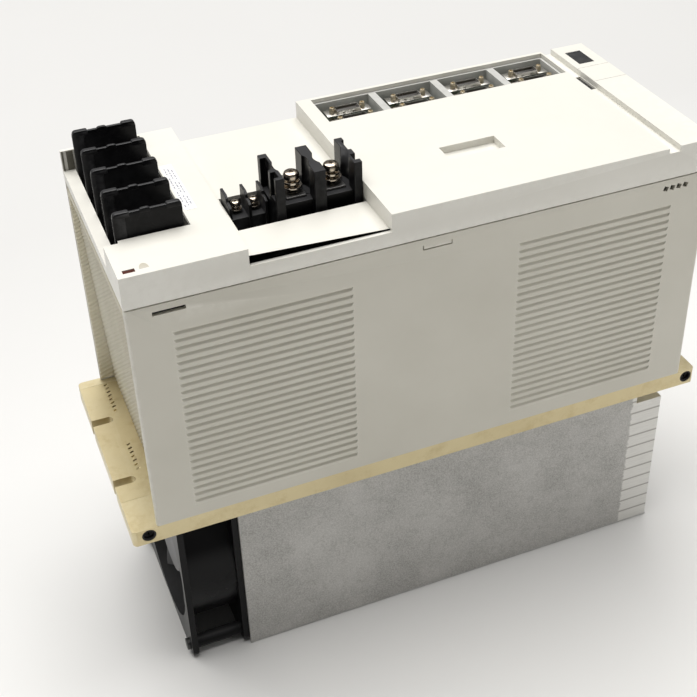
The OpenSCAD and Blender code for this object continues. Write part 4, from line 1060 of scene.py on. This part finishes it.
def buildFan():
    fs = fanSettings
    bm = bmesh.new()
    spans, chords = 9, 9
    sheets = []
    for k in range(spans + 1):
        t = k / spans
        r = fs["hub"] - 1.5 + (fs["tip"] - fs["hub"] + 1.5) * t
        pitch = math.radians(52 - 20 * t)
        sweep = math.radians(14 * t)
        row = []
        for m in range(chords + 1):
            c = m / chords
            along = (c - 0.5) * (fs["chord"] + 9 * t)
            camber = 2.4 * math.sin(math.pi * c) * (1 - 0.3 * t)
            x = along * math.cos(pitch) * 0.86 + camber * math.sin(pitch)
            arc = (along * math.sin(pitch) - camber * math.cos(pitch)) / r + sweep
            half = fs["thick"] / 2 * (0.3 + 1.4 * math.sqrt(max(c * (1 - c), 0))) * (1 - 0.35 * t)
            row.append((max(-10.5, min(10.5, x)), arc, r, half))
        sheets.append(row)
    tops = [[bm.verts.new(((x + h) * mm, r * math.sin(a) * mm, r * math.cos(a) * mm)) for x, a, r, h in row]
            for row in sheets]
    bots = [[bm.verts.new(((x - h) * mm, r * math.sin(a) * mm, r * math.cos(a) * mm)) for x, a, r, h in row]
            for row in sheets]
    for k in range(spans):
        for m in range(chords):
            bm.faces.new((tops[k][m], tops[k][m + 1], tops[k + 1][m + 1], tops[k + 1][m]))
            bm.faces.new((bots[k][m], bots[k + 1][m], bots[k + 1][m + 1], bots[k][m + 1]))
    for k in range(spans):
        for m in (0, chords):
            bm.faces.new((tops[k][m], tops[k + 1][m], bots[k + 1][m], bots[k][m]))
    for m in range(chords):
        for k in (0, spans):
            bm.faces.new((tops[k][m], tops[k][m + 1], bots[k][m + 1], bots[k][m]))
    faceOut(bm)
    blade = meshFrom(bm, "blade")
    item = inScene("bladeItem", blade)
    ring = grown("ring", "blades", {"Item": item, "Count": fs["blades"],
                                    "Centre": tuple(at(*fs["centre"])), "Material": mats["blades"]})
    dropItem(item)
    hub = turned("hub", [(0, 11.4), (4.5, 11.4), (5.2, 10.9), (5.2, 10.4), (24, 11.0), (28.2, 10.4), (29.8, 8.4),
                         (29.8, -11.4), (28.6, -12.0), (27.0, -12.0), (27.0, 8.6), (7.0, 9.2), (7.0, -9.0),
                         (2.0, -9.0), (2.0, 9.0), (0, 9.0)], 64)
    place = Matrix.Translation(at(*fs["centre"])) @ Matrix.Rotation(math.radians(-90), 4, "Y")
    hub.transform(place)
    addPiece("fan_wheel", joined("fanWheel", [ring, hub]), "fan", "blades", ["fan_rotor"], 40)


buildFan()
print("servo drive: fan ready")

# ---------- cover details ----------
markSettings = {"disc": (12.4, 17.4, 5.3, 9.9), "label": (49.0, 56.0, 51.0, 105.0)}


def buildMarks():
    # Half disc pressed into the cover beside the lamp
    u0, u1, v0, v1 = markSettings["disc"]
    centre, r = (u0 + u1) / 2, (u1 - u0) / 2
    bm = bmesh.new()
    rings = []
    for inset, w in ((0.0, 172.0), (0.0, 172.12), (0.35, 172.2)):
        points = [(centre + (r - inset) * math.cos(math.radians(a)),
                   v0 + inset + (v1 - v0 - 2 * inset) * math.sin(math.radians(a))) for a in range(0, 181, 12)]
        rings.append([bm.verts.new(at(u, v, w)) for u, v in points])
    for a, b in zip(rings, rings[1:]):
        skin(bm, a, b)
    bm.faces.new(rings[-1])
    bm.faces.new(list(reversed(rings[0])))
    faceOut(bm)
    addPiece("cover_mark", meshFrom(bm, "coverMark"), "drive", "mark", smooth=30)
    # Dark plate in the far corner beside the motor terminals: painted shade for the shadowed inside of the cover's
    # back wall
    cornerShade = bmesh.new()
    caseBox(cornerShade, (3.2, 147.0, 159.3), (7.2, 147.45, 171.6))
    caseBox(cornerShade, (0.4, 146.9, 159.3), (1.4, 147.45, 171.9))
    roundEdges(cornerShade, list(cornerShade.edges), 0.12, 1)
    addPiece("corner_liner", meshFrom(cornerShade, "cornerShade"), "drive", "cornerShade")
    # Dark plates behind the near side's slots and on the floor of the pry notch: painted shade
    shade = bmesh.new()
    for u0, u1, w0, w1 in ((13.5, 34.0, 143.6, 149.0), (319.5, 340.5, 139.0, 149.0)):
        caseBox(shade, (u0, 2.75, w0), (u1, 3.1, w1))
    # Dark plate on the pry notch's floor in the cover's groove, painted shade
    caseBox(shade, (324.1, 91.7, 167.62), (329.3, 110.8, 167.9))
    roundEdges(shade, list(shade.edges), 0.1, 1)
    addPiece("slot_shade", meshFrom(shade, "shade"), "drive", "black")
    # Printed dashes on the terminal label
    u0, u1, v0, v1 = markSettings["label"]
    bm = bmesh.new()
    rng = [3, 2, 4, 2, 3, 3, 2, 4, 3, 2]
    for column, u in enumerate((u0 + 1.6, u0 + 3.6, u0 + 5.4)):
        v = v0 + 3.0 + column * 1.3
        k = column
        while v < v1 - 4:
            length = rng[k % len(rng)] * 0.8
            verts = [bm.verts.new(at(x, y, 172.19)) for x, y in
                     ((u - 0.35, v), (u + 0.35, v), (u + 0.35, v + length), (u - 0.35, v + length))]
            bm.faces.new(verts)
            v += length + (1.0 if k % 4 else 4.0)
            k += 1
    faceOut(bm)
    for f in bm.faces:
        if f.normal.z < 0:
            f.normal_flip()
    addPiece("label_print", meshFrom(bm, "labelPrint"), "drive", "ink", smooth=0)


buildMarks()
print("servo drive: marks ready")

# ---------- floor, light, camera ----------
# front: lighter paper colour mixed in toward the camera, painted light
floorSettings = {"size": 12.0, "color": (0.62, 0.618, 0.613), "shade": (0.605, 0.603, 0.597),
                 "front": (0.84, 0.838, 0.83)}
bm = bmesh.new()
bmesh.ops.create_grid(bm, x_segments=1, y_segments=1, size=floorSettings["size"] / 2)
floorMesh = meshFrom(bm, "floor")
floor = inScene("floor", floorMesh)
material, n, l, shader = startMaterial("floorPaper")
paper = placeGroup(n, "grain", {"Grain Scale": 700.0, "Drift Scale": 1.5})
paperColor = mixColor(n, l, paper.outputs["Drift"], floorSettings["color"], floorSettings["shade"])
# Paper lightened toward the front (-Y): painted light where the object's shadow and the top lamp's falloff leave the
# near floor dark
across = n.new("ShaderNodeSeparateXYZ")
l.new(objectPlace(n), across.inputs[0])
l.new(mixColor(n, l, rangeNode(n, l, across.outputs["Y"], 0.5, -0.5), paperColor, floorSettings["front"]),
      shader.inputs["Base Color"])
shader.inputs["Roughness"].default_value = 0.9
addBump(n, l, shader, paper.outputs["Height"], 0.05, 0.0002)
floorMesh.materials.append(material)
floor.location = (0, 0, cadBox[0].z - 0.0002)

lightSettings = {"world": 0.11, "top": 292.0, "left": 7.0, "right": 9.0}
world = bpy.data.worlds.new("studio")
bpy.context.scene.world = world
world.use_nodes = True
world.node_tree.nodes["Background"].inputs["Color"].default_value = (1.0, 0.985, 0.96, 1)
world.node_tree.nodes["Background"].inputs["Strength"].default_value = lightSettings["world"]


def softbox(name, place, target, size, power, color=(1, 1, 1)):
    data = bpy.data.lights.new(name, "AREA")
    data.shape = "RECTANGLE"
    data.size, data.size_y = size
    data.energy = power
    data.color = color
    obj = inScene(name, data)
    obj.location = place
    obj.rotation_euler = (Vector(target) - Vector(place)).to_track_quat("-Z", "Y").to_euler()
    return obj


softbox("topLight", (-0.1, 0.95, 4.0), (0.0, 0.0, 0.0), (4.4, 4.4), lightSettings["top"], (1.0, 0.99, 0.97))
softbox("leftLight", (-2.4, 0.4, 1.0), (-0.4, 0, 0.1), (1.2, 1.4), lightSettings["left"], (1.0, 0.99, 0.97))
softbox("rightLight", (1.7, -1.5, 0.6), (0.25, 0, 0.1), (1.0, 0.8), lightSettings["right"], (1.0, 0.98, 0.94))

# Camera, in case coordinates
cameraData = bpy.data.cameras.new("camera")
cameraData.lens = view["focal"]
cameraData.sensor_width = 36.0
cameraData.shift_x, cameraData.shift_y = view["shiftX"], view["shiftY"]
camera = inScene("camera", cameraData)
right, down, ahead = Vector(view["right"]), Vector(view["down"]), Vector(view["ahead"])
turn = Matrix((right, -down, -ahead)).transposed().to_4x4()
camera.matrix_world = Matrix.Translation(at(*view["place"])) @ turn
bpy.context.scene.camera = camera
bpy.context.scene.view_settings.view_transform = "Standard"
print("servo drive: stage ready")
